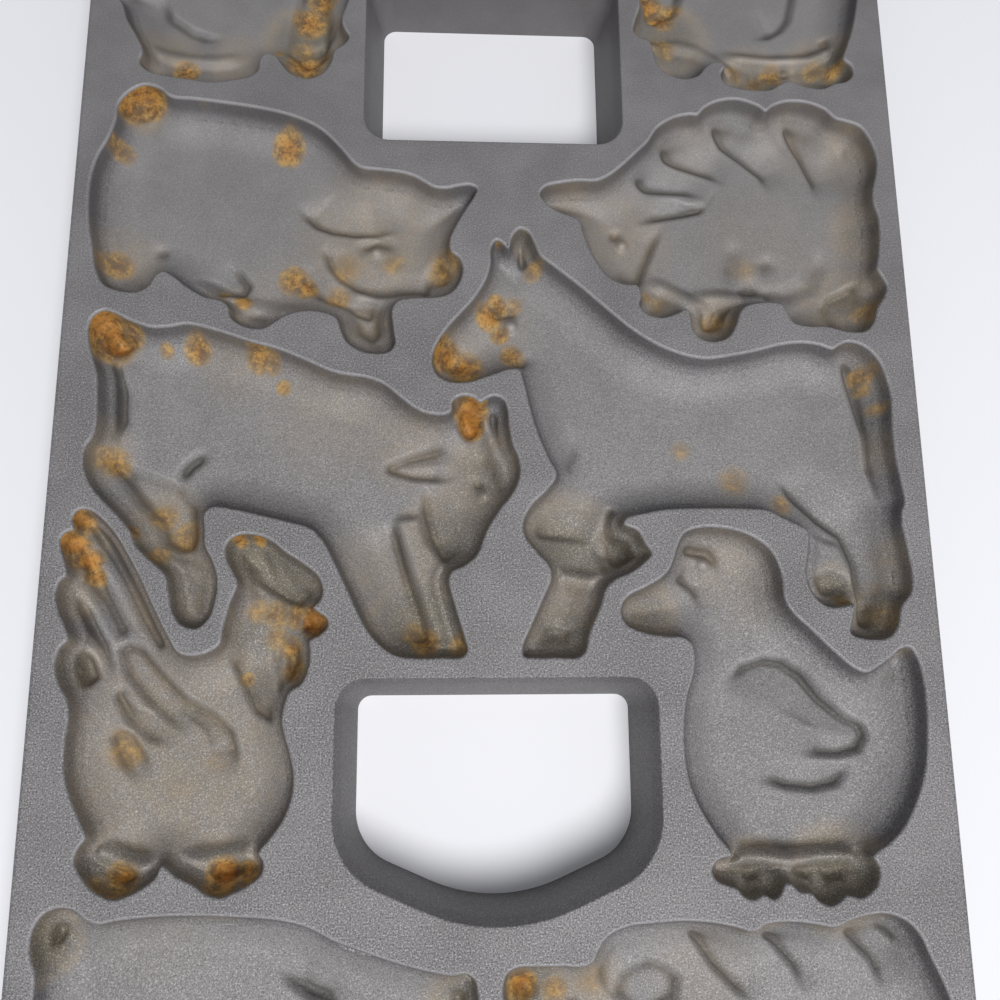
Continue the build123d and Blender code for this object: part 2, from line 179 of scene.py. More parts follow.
# Rims, anticlockwise, in millimetres on the plate
outlines = {
    "pig": [
        (-92.6, 84.9), (-96.2, 82.6), (-98.4, 79.2), (-98.7, 75.3), (-100.1, 69.8), (-102.6, 64.2),
        (-103.8, 58.7), (-104, 53.1), (-103.4, 45.3), (-102.1, 38.7), (-101, 33.1), (-98.7, 28.7),
        (-94.8, 27), (-90.3, 26.7), (-87.6, 28.2), (-85.9, 31.2), (-84.2, 32.4), (-82, 31.4), (-78.1, 28.4),
        (-73.7, 25.7), (-69.2, 24.6), (-67.4, 23), (-67, 20.8), (-65, 18.7), (-61.4, 17.4), (-58.1, 17.5),
        (-55.3, 19.4), (-53.1, 20.9), (-49.2, 22.2), (-44.8, 22.1), (-40.4, 20.5), (-39, 17), (-37.6, 14.2),
        (-34.2, 11.8), (-30.3, 11), (-26.8, 11.6), (-25.4, 13.7), (-25.8, 17.6), (-26.2, 23.1),
        (-24.8, 25.2), (-20.9, 26.1), (-14.8, 26.4), (-11.2, 27.8), (-8.8, 31.4), (-8.3, 34.8),
        (-9.2, 37.3), (-11.2, 39), (-11.7, 42), (-10.3, 45.9), (-7.6, 50.9), (-5.3, 54.8), (-4.6, 56.9),
        (-6.4, 57.9), (-9.2, 57.6), (-12.6, 56.8), (-15.9, 57.1), (-18.7, 58.7), (-20.9, 60), (-24.8, 61.1),
        (-30.3, 61.7), (-34.8, 62.2), (-37, 63.7), (-39.2, 66.4), (-42.6, 70.3), (-45.9, 73.3),
        (-50.3, 75.7), (-55.9, 77.6), (-62.6, 79), (-70.3, 80.1), (-79.2, 81.1), (-84.2, 81.4), (-86, 82.2),
        (-87.6, 83.7), (-89.8, 84.7),
    ],
    "goat": [
        (-98.1, 21.6), (-100.5, 20), (-101.4, 16.9), (-101, 13.3), (-99.9, 9.5), (-98.4, 4.8),
        (-97.9, -0.4), (-97.6, -7.5), (-98.3, -11.1), (-99.9, -14.1), (-99.8, -18.8), (-98.1, -23),
        (-95.1, -26.6), (-91.5, -30.1), (-87.8, -34.5), (-86.4, -37.7), (-82.6, -41.5), (-79, -44.8),
        (-77.8, -49.2), (-76.6, -54), (-74.3, -56.9), (-70.7, -57.6), (-68.1, -55.1), (-66.8, -50.4),
        (-66.7, -45.6), (-68.1, -41.3), (-69.9, -38), (-70.3, -33.7), (-70.5, -30), (-68.7, -28.5),
        (-63.5, -29), (-57, -30.5), (-49.9, -32.2), (-45.1, -33.7), (-42.1, -36.6), (-39.1, -42),
        (-35.6, -49.2), (-31.4, -57.5), (-28, -61.7), (-24, -64.2), (-18.9, -64.9), (-13, -64.8),
        (-8.6, -64.7), (-7.2, -63.2), (-8, -59.3), (-10, -52.8), (-11.6, -45.9), (-10.8, -44.1),
        (-8.2, -42.9), (-5, -40.3), (-2.2, -33.7), (0.7, -29), (4.3, -24.2), (5.8, -20), (5.5, -15.9),
        (4.1, -12.3), (3.2, -7.5), (2.9, -3.4), (1.9, -0.8), (-0.5, 0.1), (-2.6, -0.8), (-4, -1.6),
        (-5.6, -0.3), (-8.6, 0.1), (-10.7, -1.2), (-11.3, -4.1), (-13, -4.9), (-17.7, -4.4), (-20.7, -2.9),
        (-23.7, -0.5), (-27.8, 2.8), (-32, 4.5), (-40.3, 5.9), (-47.5, 9), (-54.6, 11.9), (-61.8, 13.9),
        (-70.1, 16.6), (-77.2, 18.2), (-81.4, 17.5), (-85.6, 17.2), (-89.1, 18.1), (-92.7, 19.6),
        (-95.7, 21.1),
    ],
    "horse": [
        (0.5, 42.4), (-0.9, 40.6), (-1.1, 36.2), (-2.1, 32.1), (-5.3, 26.3), (-9.1, 21.8), (-12.3, 17.9),
        (-14.7, 14.1), (-16, 10.3), (-15.2, 6.2), (-12.3, 4), (-7.2, 3.7), (-2.1, 5.3), (3.7, 7.3),
        (6, 7.1), (6.9, 4.5), (8.8, -3.8), (10.8, -10.3), (13.1, -16), (14.9, -20), (12.7, -23.7),
        (8.8, -27.6), (6.5, -32), (6.9, -35.5), (9.5, -39.1), (12.7, -42.9), (13.2, -45.5), (10.8, -51.3),
        (7.9, -57.7), (6, -62.2), (6.2, -64.5), (8.8, -64.9), (14, -64.9), (19.3, -64.8), (21, -63.3),
        (22.1, -59), (24.9, -52.6), (26.4, -48.3), (28.5, -46.2), (32.6, -44.4), (35.8, -42.1),
        (37.8, -39.7), (36.4, -37.3), (34.5, -34), (31.3, -32.5), (31.9, -31), (36.4, -29.8), (41.5, -28.8),
        (51.8, -28.4), (62.1, -28.5), (67.2, -28.9), (71, -30.8), (74.9, -32.7), (77, -34), (76.8, -38.5),
        (75.8, -44.2), (77, -49.4), (79.8, -52.4), (82.6, -53.1), (85.8, -52.6), (87.3, -52.2),
        (86.7, -55.1), (85.9, -59.3), (88.3, -60.5), (94.7, -60.6), (97.5, -58.1), (99.2, -52.6),
        (101.8, -49.4), (102.4, -44.9), (101.8, -38.5), (101, -32.1), (101.2, -29.5), (102.2, -26.3),
        (101.8, -21.8), (100.9, -14.1), (100.8, -6.4), (101.2, 0.6), (100.3, 6.4), (98.6, 10.9),
        (95.4, 14.3), (91.5, 15.5), (89, 14.7), (87, 13.5), (83.8, 14.5), (79.4, 15.1), (73.6, 14.5),
        (67.2, 12.8), (59.5, 11.2), (53.7, 10.5), (47.9, 11.5), (41.5, 14.1), (35.1, 18.2), (28.7, 23.7),
        (22.3, 29.5), (15.3, 35.3), (11.6, 38.5), (10.1, 42.3), (8.6, 45), (6.5, 45.7), (4.6, 43.6),
        (3.5, 40.2), (2.2, 41.4),
    ],
    "ram": [
        (12, 55.9), (13.3, 53.5), (16.1, 51.2), (20, 49.6), (22.1, 48.5), (23, 45.3), (24.4, 40.9),
        (26.7, 36.4), (29.4, 32.7), (33.3, 30.7), (36.8, 30.4), (37.8, 27.6), (37.2, 25.2), (38.9, 22.7),
        (42.8, 21.6), (46.7, 22.7), (49.6, 24), (50.3, 22), (50.8, 18.7), (52.8, 16.1), (56.1, 15.2),
        (60, 16.5), (62.2, 19.8), (63.7, 23.8), (65.6, 25.3), (70.6, 26.2), (74.6, 25.7), (75.6, 23.7),
        (77.2, 20.9), (80.6, 19.8), (86.1, 19.7), (91.7, 18.4), (96.1, 18.6), (98.5, 20.9), (100, 25.3),
        (102.2, 28.7), (102.8, 31.4), (101.6, 34.2), (100.7, 36), (101.4, 39.8), (102.2, 45.3),
        (102.3, 50.9), (101.3, 55.9), (101.6, 59.2), (103, 64.2), (103.3, 68.7), (101.9, 73.9),
        (99.4, 77.6), (95.5, 79.1), (93, 79.8), (90, 82.6), (85, 84.5), (79.4, 84.5), (75.6, 83),
        (73.9, 81.6), (71.7, 83.1), (66.1, 84.9), (60.6, 84.1), (57, 82.1), (55, 80), (52.8, 80),
        (48.3, 78.8), (43.9, 75.8), (41.1, 71.6), (38.3, 68.7), (34.4, 64.8), (30.6, 61.6), (27.2, 59.9),
        (21.7, 59.7), (17.2, 59), (13.3, 57.8),
    ],
    "rooster": [
        (-100.2, -29.3), (-101.5, -31.3), (-101, -34), (-102.8, -34.8), (-103.9, -36.5), (-103.3, -39.7),
        (-102, -43.3), (-101.8, -45.2), (-103.1, -46.3), (-103.9, -49), (-103, -53.4), (-101.2, -57.1),
        (-100.2, -60.1), (-101.8, -61.9), (-102.7, -65.5), (-101.5, -70.3), (-99.3, -73.9), (-98.6, -77.6),
        (-99, -83.9), (-98.6, -90.3), (-97, -95.5), (-94.4, -100.8), (-92.8, -104.3), (-94.2, -106.4),
        (-94.9, -109.2), (-93.3, -112.6), (-89.6, -116.1), (-85.9, -117.5), (-82.3, -116.6),
        (-79.1, -114.9), (-76.7, -112.9), (-75.6, -110.6), (-72.3, -112.9), (-68.6, -114.7),
        (-65.4, -116.8), (-62.3, -117.5), (-59.1, -116.3), (-55.9, -114.7), (-53.4, -112.5),
        (-53.2, -109.9), (-54.3, -108), (-52.3, -105.5), (-49.3, -101.3), (-47.5, -96.6), (-47.1, -91.3),
        (-48.2, -86.1), (-49.6, -81.8), (-50.2, -78.7), (-49.6, -74.7), (-48.6, -72.4), (-45.9, -70.5),
        (-44.4, -66.6), (-44.2, -62.9), (-44.4, -60.6), (-42.3, -59.5), (-40.3, -57.4), (-40.5, -55.3),
        (-42.6, -53.8), (-43.7, -52.7), (-42.3, -51.3), (-41.6, -48.7), (-42.8, -45.3), (-46.5, -42.2),
        (-50.7, -39.5), (-54.4, -36.6), (-58.6, -35.2), (-62.3, -35.4), (-64.7, -37.4), (-64.8, -40.8),
        (-62.9, -44.5), (-61.8, -47.1), (-63.2, -51.3), (-64.7, -57.6), (-65.3, -61.3), (-68.1, -63.3),
        (-72.3, -64), (-74.9, -63.1), (-77.5, -59.2), (-80.7, -53.4), (-84.4, -46.1), (-88.1, -39.7),
        (-91.2, -35), (-94.9, -31.1), (-97.7, -29.3),
    ],
    "duck": [
        (46.2, -34.7), (44.5, -37.4), (43.3, -40.8), (42, -43.6), (40.1, -45.6), (36.2, -47.9),
        (31.8, -50.1), (30, -52.6), (30.1, -55.4), (31.8, -57.6), (36.2, -59.2), (40.7, -59.9),
        (44.6, -60.2), (46.6, -61.5), (47.3, -64.3), (46.8, -68.6), (45.1, -73.6), (44, -80.2), (43.9, -88),
        (45, -94.7), (47.3, -100.4), (50.7, -105.8), (53.6, -110), (50.7, -110.9), (48.9, -113),
        (49.7, -115.4), (52.3, -116.7), (54.4, -117.4), (56.2, -119.3), (58.4, -119.9), (60.7, -118.9),
        (62.9, -119.9), (64.8, -118.6), (65.8, -116.5), (67, -116.5), (69, -118.3), (71.8, -118.7),
        (73.4, -120.4), (76.2, -121.5), (78.6, -120.4), (80.1, -119.3), (83.4, -119.9), (86.4, -118.2),
        (87.9, -115.8), (88.1, -113), (87, -110.8), (87.9, -109.9), (90.7, -108.2), (94.6, -104.7),
        (98.4, -98.6), (101.2, -91.3), (102.3, -84.7), (102.9, -76.9), (102.7, -70.2), (101.7, -65.2),
        (100.1, -62.8), (97.9, -63.1), (95.1, -65.2), (91.8, -67.4), (89, -68.7), (86.2, -67.8),
        (81.8, -64.1), (76.2, -58.5), (71.8, -54.1), (70.1, -50.8), (69.8, -45.8), (69, -42.2),
        (67.3, -38.9), (64, -36.1), (59.6, -34.2), (54, -33.2), (49.6, -33.4),
    ],
    "rabbit": [
        (-99.9, 109.9), (-98.1, 104.8), (-95.3, 99.8), (-93.3, 95.3), (-93.8, 91.6), (-91.4, 89.2),
        (-87, 88), (-81.4, 87.2), (-74.8, 86.4), (-69.2, 87.2), (-64.4, 88.6), (-62.7, 90.5), (-62.3, 93.9),
        (-60.6, 95.4), (-58.1, 94.5), (-56.8, 92.6), (-54.2, 89.6), (-49.8, 88.1), (-45.9, 89.7),
        (-43.6, 93.1), (-42.7, 96.8), (-40.3, 98.7), (-39, 101.1), (-40.1, 103.3), (-41, 106.3),
        (-39.5, 112), (-37.5, 120), (-33, 126.5), (-25, 129.5), (-17.5, 131.5), (-10.5, 136), (-8, 141),
        (-9.5, 147), (-15, 151.5), (-22, 154.5), (-28.5, 156.5), (-33.5, 160), (-39, 166), (-45, 172.5),
        (-50, 176.2), (-55.5, 177), (-58.8, 175), (-58.2, 171.8), (-56.6, 168.9), (-59, 167.2),
        (-62.6, 168.2), (-67, 168), (-70.5, 165), (-68, 160), (-62, 154.8), (-60, 150.5), (-66.5, 149),
        (-76, 146.2), (-85, 141), (-92, 134.5), (-95.5, 128), (-97.5, 123.5), (-101.5, 122), (-104, 118.5),
        (-103.8, 113.5),
    ],
    "turkey": [
        (38.5, 105.4), (39.9, 103.5), (42.8, 102.2), (43.6, 99), (44.7, 95.1), (47.4, 92.3), (51.9, 90.9),
        (55.8, 92), (58, 94.6), (60.2, 96.3), (62.6, 96.2), (63.3, 94.9), (62.2, 92.9), (62.8, 90.1),
        (66.3, 88.5), (71.3, 87.9), (75.8, 88.3), (78.2, 89.8), (80.9, 90.9), (83.4, 90.1), (86.3, 89.2),
        (90.2, 88.9), (93.6, 90.5), (96.9, 91.3), (98.9, 93.4), (98.7, 96.2), (96.7, 98.3), (98, 102.3),
        (99.8, 107.3), (101.5, 114), (103.2, 124), (103.8, 135), (102.5, 146), (98.5, 156), (93.5, 163.5),
        (88, 168.5), (81.5, 172), (74, 174.5), (67, 174.8), (60.5, 172.5), (55, 168), (51, 162),
        (47.5, 156.5), (42.5, 152.8), (37.5, 152.2), (33.5, 154.5), (30.5, 159), (27.8, 165), (22.5, 168.5),
        (16.5, 169), (11, 166), (9, 161.5), (10.2, 155), (14.5, 151), (17.5, 147.5), (18.5, 142.5),
        (22, 137), (27.5, 132), (34, 128.8), (37.8, 125.5), (40, 119.5), (40.6, 113.5), (39.2, 109),
    ],
    "calf": [
        (-102.7, -123.6), (-103, -127.5), (-101.4, -133), (-101.3, -140), (-101, -150), (-97.5, -159),
        (-93.5, -166.5), (-91.8, -173), (-90.5, -178), (-87, -179), (-81.5, -179), (-79, -177.5),
        (-78, -171.5), (-76, -165.5), (-71, -161.5), (-64, -160), (-56, -161.5), (-50, -164.5),
        (-47.5, -171), (-46.2, -177.5), (-43, -179), (-37.5, -179), (-35, -177.3), (-34, -170),
        (-32.5, -162.5), (-28.5, -157), (-22, -153.2), (-15, -152), (-8.5, -150.5), (-5, -146),
        (-4.8, -141.5), (-5, -138), (-5.6, -135.6), (-7.6, -134.3), (-10.5, -134.6), (-14.8, -133.9),
        (-22.6, -131.9), (-30.3, -129.3), (-37, -126.9), (-42.6, -124.1), (-49.2, -122.4), (-59.2, -121.5),
        (-68.1, -121.1), (-77, -121.2), (-84.8, -121.9), (-88.8, -122.5), (-91.4, -121.5), (-94.2, -119.5),
        (-97.6, -119), (-100.8, -120.4),
    ],
    "sheep": [
        (1.5, -134.6), (0.7, -137.5), (1.2, -142), (3.2, -147), (8, -151), (14, -153.3), (20.5, -154.7),
        (26, -157.5), (31, -162), (33.5, -169), (35.6, -176.5), (38, -178.8), (44.5, -179), (47.3, -177),
        (48.7, -171), (51.5, -166.5), (57.5, -164), (66, -163.3), (74, -164.3), (80, -166.8), (82.5, -172),
        (84, -177.5), (87, -179), (92.5, -178.8), (95, -176.5), (95.8, -169.5), (98, -163.5), (101.5, -158),
        (103.5, -151), (102.8, -144.5), (100.8, -138.4), (98.4, -132.9), (96.2, -127.8), (93.3, -124.9),
        (88.9, -123.3), (84.4, -123.6), (80, -124.8), (76.7, -126), (72.2, -125.3), (66.7, -124.7),
        (60.9, -125.1), (57.8, -126.6), (53.3, -125.5), (47.8, -124.5), (41.7, -124.1), (35.6, -124.4),
        (28.9, -125.1), (24.4, -127.1), (22.2, -129.9), (21, -132.2), (18.8, -133.3), (14.4, -133.1),
        (8.9, -133.1), (3.9, -133.2),
    ],
}

# Relief on each floor: kind, points, depth and reach, or for a dome its place, height and radius
relief = {
    "pig": [
        ("lobe", [
            (-98, 81), (-98.5, 75), (-95, 71.5), (-90, 73), (-86.5, 76), (-86, 80), (-90, 83),
        ], 2.2, 2.5),
        ("edge", [
            (-51.5, 51.5), (-49, 47.5), (-46, 45), (-42, 43.6), (-36, 42.8), (-30, 43.2), (-24, 44.5),
        ], 2.6, 12),
        ("dome", [(-30.5, 38.2)], 1.2, 2.0),
        ("groove", [(-36, 36.4), (-34, 39.4), (-30, 41.4), (-26, 39.4), (-25, 37)], 1.6, 1.2),
        ("edge", [
            (-43.6, 42), (-44, 38), (-42.5, 34), (-39.5, 30.5), (-35, 27.5), (-30, 25.6), (-24, 25),
        ], 2.4, 8),
        ("lobe", [(-14, 37.5), (-9.5, 37), (-9, 31), (-12, 28), (-18, 27.5), (-19, 32)], 1.0, 3),
        ("edge", [(-66.5, 24.5), (-63.1, 25.3), (-61.7, 28.7), (-64.2, 32), (-68.5, 36.2)], 2.2, 8),
        ("groove", [(-84.3, 40), (-84.6, 34)], 1.0, 1.8),
        ("edge", [(-49.5, 36), (-48.4, 30), (-45.3, 25.3), (-38.5, 22.6)], 1.7, 6),
        ("ridge", [(-39.5, 24.8), (-33, 26), (-26, 25.2)], 1.1, 1.5),
        ("lobe", [(-38, 22.5), (-34, 24), (-27.5, 23.5), (-27, 14), (-31, 12.5), (-36, 14.5)], 0.8, 3.0),
        ("ridge", [(-68, 24.5), (-62, 22.5), (-55, 21)], 1.1, 1.6),
    ],
    "ram": [
        ("edge", [(34, 60), (39.4, 56.6), (49.4, 56.4), (57, 55)], 2.2, 8),
        ("edge", [(41.3, 70.5), (45, 65.3), (51.7, 63.3), (56.1, 61.8), (62, 58.6)], 2.5, 10),
        ("edge", [(55.3, 81), (57.2, 75.3), (60.6, 70.3), (66.1, 65.9), (70.6, 62), (73, 56.5)], 2.6, 10),
        ("edge", [(75, 82), (77.8, 74.2), (81.7, 67.6), (84.4, 61), (85.4, 55)], 2.5, 10),
        ("edge", [(92, 80), (92.8, 73), (93, 64)], 0.8, 6),
        ("edge", [(36, 47.2), (42.8, 48.8), (49.4, 50), (54.3, 51.2), (55.7, 53), (52.5, 54.7)], 2.5, 6),
        ("lobe", [(12.5, 56.2), (17, 59), (25, 58.8), (27, 55), (24, 51.5), (17, 51.8)], 1.4, 2),
        ("dome", [(33, 41.1)], 1.3, 1.8),
        ("groove", [(29.8, 41.5), (31.2, 44), (34.2, 44.4)], 1.3, 1.0),
        ("edge", [(37, 29), (39.5, 36), (42, 42), (44.5, 47.5)], 2.2, 8),
        ("ridge", [(38.5, 31.5), (43, 28.8), (49.5, 25)], 1.8, 1.5),
        ("ridge", [(49.5, 26), (56, 26.4), (62, 26)], 1.8, 1.5),
        ("lobe", [(51, 24), (62, 24), (60.5, 18.5), (56, 16.3), (52.3, 17.5)], 1.6, 2.5),
        ("groove", [(60.2, 30), (61.3, 37), (63.2, 44)], 1.3, 1.8),
        ("groove", [(63.5, 28), (69, 32)], 1.1, 1.6),
        ("groove", [(68, 34.4), (71, 36.4), (73.8, 38.2)], 1.1, 1.7),
        ("groove", [(70, 27.6), (76.1, 28.1), (81.7, 30.9), (84.6, 36.4), (85.2, 42)], 1.5, 1.9),
        ("edge", [(102, 37), (97, 33), (91.5, 29.5), (86.5, 27), (84, 22)], 2.2, 7),
        ("groove", [(85.5, 27), (86.5, 20.5)], 1.2, 1.5),
    ],
    "goat": [
        ("lobe", [
            (-100, 19), (-100.5, 14), (-97, 9.5), (-93, 8.5), (-88.5, 10.5), (-86.5, 14), (-90, 17.5),
            (-96, 20),
        ], 2.4, 3),
        ("lobe", [(-101, 6), (-92, 8), (-89.2, 0), (-88.8, -8), (-91, -14), (-101, -12)], 1.7, 2.8),
        ("groove", [(-77.4, -23.2), (-74.5, -18.6), (-69.5, -14.6)], 2.3, 1.1),
        ("lobe", [
            (-95, -16), (-84, -20), (-76, -23), (-71, -29), (-70, -36), (-71.3, -39.7), (-75, -40.3),
            (-79, -38.5), (-81.4, -32.5), (-85.6, -29), (-91.5, -21.5),
        ], 1.8, 2.2),
        ("lobe", [(-90, -34), (-82, -40.5), (-72, -42), (-64, -48), (-66, -62), (-84, -62)], -1.8, 2.0),
        ("edge", [(-15.5, -66), (-18.3, -54), (-21.9, -43.2), (-25.3, -31)], 2.8, 10),
        ("lobe", [(-25, -31.5), (-18.5, -30.5), (-17, -36), (-11, -45), (-5, -66), (-14, -66)], -2.2, 1.6),
        ("edge", [(-17.4, -21.5), (-18.2, -29), (-15.9, -36.1), (-12.5, -43)], 2.5, 7),
        ("edge", [
            (-9.3, -14), (-14, -13.8), (-22, -16), (-26.6, -18), (-26.8, -19.6), (-21, -21.4), (-14, -22),
            (-9, -21.2),
        ], 2.3, 5),
        ("dome", [(-3.4, -25.8)], 1.3, 1.7),
        ("groove", [(-7, -22.6), (-4.4, -22.8), (-3, -24.6)], 1.4, 0.9),
        ("lobe", [
            (-11.5, -3), (-8.5, -0.5), (-5, -1), (-3.2, -5), (-4, -10), (-7, -12.5), (-10.4, -9),
        ], 2.4, 2.0),
        ("lobe", [
            (-2.5, -1), (0.5, 0), (2.5, -3), (2, -10), (3.2, -16), (0.5, -18), (-1.5, -12), (-2.6, -6),
        ], 1.1, 2.0),
        ("ridge", [(-3, 0), (-2.6, -8), (0, -17)], 1.1, 1.0),
        ("groove", [(-6, -15), (-1, -19), (1.5, -24)], 0.9, 1.4),
    ],
    "horse": [
        ("dome", [(3.8, 18.2)], 1.9, 2.1),
        ("groove", [(-1.4, 18.5), (0.2, 21.2), (3.4, 22.2), (6.4, 20.4)], 2.0, 1.1),
        ("lobe", [(4.6, 45), (8, 45.8), (10.3, 42), (11.4, 37), (9, 32.5), (6, 33), (4.5, 38)], 1.5, 2.2),
        ("lobe", [(-1, 41.5), (1.5, 42.2), (2.6, 39), (1, 35.5), (-1.2, 36.5)], 1.5, 1.5),
        ("groove", [(5.2, 6.6), (7.6, 9.2), (8.8, 12.4)], 1.7, 1.4),
        ("lobe", [(-15.5, 13), (-9, 14), (-6, 8), (-9, 4), (-15, 5)], 1.2, 4),
        ("edge", [
            (86.5, 14), (88.5, 7), (90.5, -2), (92, -10), (92.3, -19), (94, -26), (96.5, -29.4),
            (101.5, -29),
        ], 2.1, 9),
        ("edge", [
            (68.6, -20.5), (73.6, -26.9), (78.7, -32.1), (84.5, -35.9), (87.1, -42.3), (87.4, -53),
        ], 2.6, 12),
        ("lobe", [(75, -35), (84, -37.5), (87, -44), (87.2, -54), (75, -54)], -2.0, 1.5),
        ("lobe", [(76.2, -45.6), (81, -44), (86, -46), (86, -51.2), (82, -52.8), (77.6, -51)], 2.0, 2.0),
        ("edge", [(102, -50.5), (94, -52.5), (86, -53)], 1.7, 7),
        ("edge", [(13, -22), (18, -20), (20.4, -15), (20.2, -8)], 0.9, 6),
        ("edge", [(11, -36.2), (18, -36.6), (25, -37.8)], 1.8, 6),
        ("lobe", [
            (25.3, -36), (28, -32.8), (32, -33.2), (37, -39), (33, -43.4), (28, -45.4), (25.3, -41),
        ], 2.2, 2.4),
        ("groove", [(25.6, -36), (24.5, -39), (25.6, -42.5)], 1.5, 1.1),
        ("ridge", [(12, -45), (19, -46.4), (28, -47.2)], 1.8, 1.3),
        ("edge", [(23, -58), (15, -58.6), (7, -56.6)], 1.5, 7),
    ],
    "rooster": [
        ("lobe", [
            (-101, -29), (-97, -28), (-91, -34), (-82, -50), (-74, -63), (-79.5, -63), (-84, -57),
            (-90.5, -45.5), (-96.5, -35.5), (-101, -34),
        ], 1.6, 2.4),
        ("lobe", [
            (-105, -36.5), (-98, -36), (-91.8, -46), (-85.3, -58), (-87, -60.5), (-89.3, -60),
            (-93.5, -52.5), (-98, -46.8), (-104, -44.5),
        ], 1.7, 2.4),
        ("lobe", [
            (-105, -46.5), (-99, -47.7), (-94.5, -53), (-90.3, -60.5), (-88.8, -65.5), (-89.5, -70),
            (-93, -62.5), (-96.5, -59), (-101.5, -59),
        ], 1.8, 2.4),
        ("lobe", [
            (-104, -62), (-101, -60.8), (-97, -60.6), (-93.5, -64), (-91.5, -69), (-94.5, -72.5),
            (-99, -73), (-104, -70),
        ], 2.2, 2.0),
        ("edge", [
            (-60.5, -92), (-60, -86), (-61.5, -81), (-66, -77), (-72, -74), (-78, -68), (-83, -62.3),
            (-86.5, -61.2), (-88.3, -62.5), (-86.5, -68), (-81.5, -74), (-76, -79), (-71, -82.5),
        ], 2.3, 9),
        ("edge", [
            (-83.5, -73.5), (-86.8, -71.2), (-88.3, -73), (-85.5, -78.5), (-80.5, -82.8), (-74, -85),
        ], 2.2, 7),
        ("edge", [
            (-79, -92), (-80.5, -87), (-84, -81.8), (-87, -80.8), (-88.3, -82.5), (-86, -88), (-81.5, -94),
        ], 2.2, 6),
        ("edge", [(-63.5, -46), (-58, -46.2), (-54, -48.8), (-49.5, -51.5), (-43, -53.4)], 2.5, 8),
        ("groove", [(-61, -37.5), (-58.5, -44)], 0.9, 1.0),
        ("groove", [(-56.5, -37.5), (-52.5, -46.5)], 0.9, 1.0),
        ("groove", [(-51.5, -41), (-47.5, -49)], 0.9, 1.0),
        ("edge", [
            (-64.5, -61), (-61.7, -66), (-59, -71.5), (-56.5, -76.8), (-52.3, -79.4), (-48.5, -78.5),
        ], 2.5, 9),
        ("lobe", [(-50.5, -61.5), (-46, -61.5), (-45, -66), (-47.5, -71), (-50, -70)], 2.2, 2.2),
        ("groove", [(-51.4, -59.5), (-51.7, -66), (-50, -72)], 1.6, 1.0),
        ("lobe", [(-46, -54.3), (-41.6, -54), (-40.6, -57.6), (-45.5, -59)], 2.2, 1.8),
        ("dome", [(-53.5, -55.5)], 0.9, 1.3),
        ("ridge", [(-94, -104.5), (-88.5, -106.3), (-83, -108.8), (-76, -110.6)], 2.8, 1.5),
        ("ridge", [(-68, -109), (-60, -108.2), (-53, -107)], 2.0, 1.5),
        ("lobe", [(-93.5, -108), (-88.5, -107.5), (-86.5, -111), (-88.5, -115.5), (-93, -112)], 1.7, 2.2),
        ("lobe", [(-86, -109.8), (-78, -112), (-79, -114), (-84, -116.8), (-87, -115)], 1.9, 2.2),
        ("lobe", [(-64, -110), (-55, -109.5), (-53.5, -111.5), (-58, -115.8), (-64.5, -116.3)], 2.0, 2.4),
        ("edge", [(-92, -104), (-97, -96), (-98.5, -88)], 0.9, 6),
    ],
    "duck": [
        ("ridge", [
            (49, -110.3), (60, -109.9), (66, -110.6), (74, -110), (84, -110), (92, -108.5),
        ], 3.4, 1.4),
        ("edge", [(39.5, -46), (44, -47.4), (46.8, -49.1), (48.2, -51.9), (47.9, -56)], 2.1, 7),
        ("dome", [(50, -42.9)], 1.7, 2.0),
        ("groove", [(47.5, -39.6), (51, -40), (55.4, -44.6)], 1.9, 1.0),
        ("edge", [
            (70, -87), (75.1, -88), (80.7, -88.2), (85.7, -86.9), (87.7, -83.6), (86.8, -80.8),
            (82.9, -79.1), (77.3, -74.7), (72.9, -69.1), (68.4, -65.8), (64, -65.2), (58.4, -66.9),
            (53, -72),
        ], 2.6, 11),
        ("groove", [(84, -79.6), (77.3, -74.5), (72.9, -69), (68.4, -65.6)], 0.8, 1.0),
        ("edge", [
            (59.5, -93), (67.3, -95.2), (74, -95.9), (79.6, -94.7), (82, -91.9), (83.8, -88.5),
        ], 2.6, 7),
        ("lobe", [(49.5, -112), (54, -111.5), (54.2, -116.5), (51, -116.6)], 0.8, 2.2),
        ("lobe", [(54.6, -112.5), (59.4, -112), (59.8, -119.4), (55.4, -118.5)], 1.3, 2.4),
        ("lobe", [(59.8, -112), (65.5, -112.3), (65.2, -117), (61, -119.5)], 1.1, 2.4),
        ("lobe", [(66.4, -112), (72.4, -112), (71.8, -118.4), (67, -116)], 1.0, 2.4),
        ("lobe", [(72.8, -112.5), (79.4, -112), (80, -119.5), (74, -121)], 1.4, 2.4),
        ("lobe", [(80, -111.8), (87.5, -112.5), (87, -117.5), (81, -119.5)], 1.1, 2.4),
    ],
    "rabbit": [
        ("edge", [(-70.5, 99.8), (-76, 100), (-80.5, 101.5), (-86, 105.5), (-89, 113)], 2.0, 9),
        ("lobe", [(-56, 95), (-50, 89.5), (-44.5, 92), (-42.5, 103), (-45, 116), (-53, 116)], 2.3, 2.4),
        ("groove", [(-53, 97.8), (-48, 96.8), (-44, 98.8)], 1.3, 1.1),
        ("ridge", [(-94, 93.5), (-86, 92), (-74, 91.5), (-64, 93)], 1.4, 1.5),
        ("dome", [(-22, 146)], 1.5, 2.0),
        ("edge", [(-50, 128), (-44, 132), (-38, 140), (-38, 150)], 1.8, 9),
    ],
    "turkey": [
        ("lobe", [(38, 105.5), (44, 106), (50.5, 110), (54, 118), (46, 126), (38, 118)], 2.4, 2.4),
        ("ridge", [(43, 98), (50, 100), (55, 98.6), (59, 95)], 1.4, 1.5),
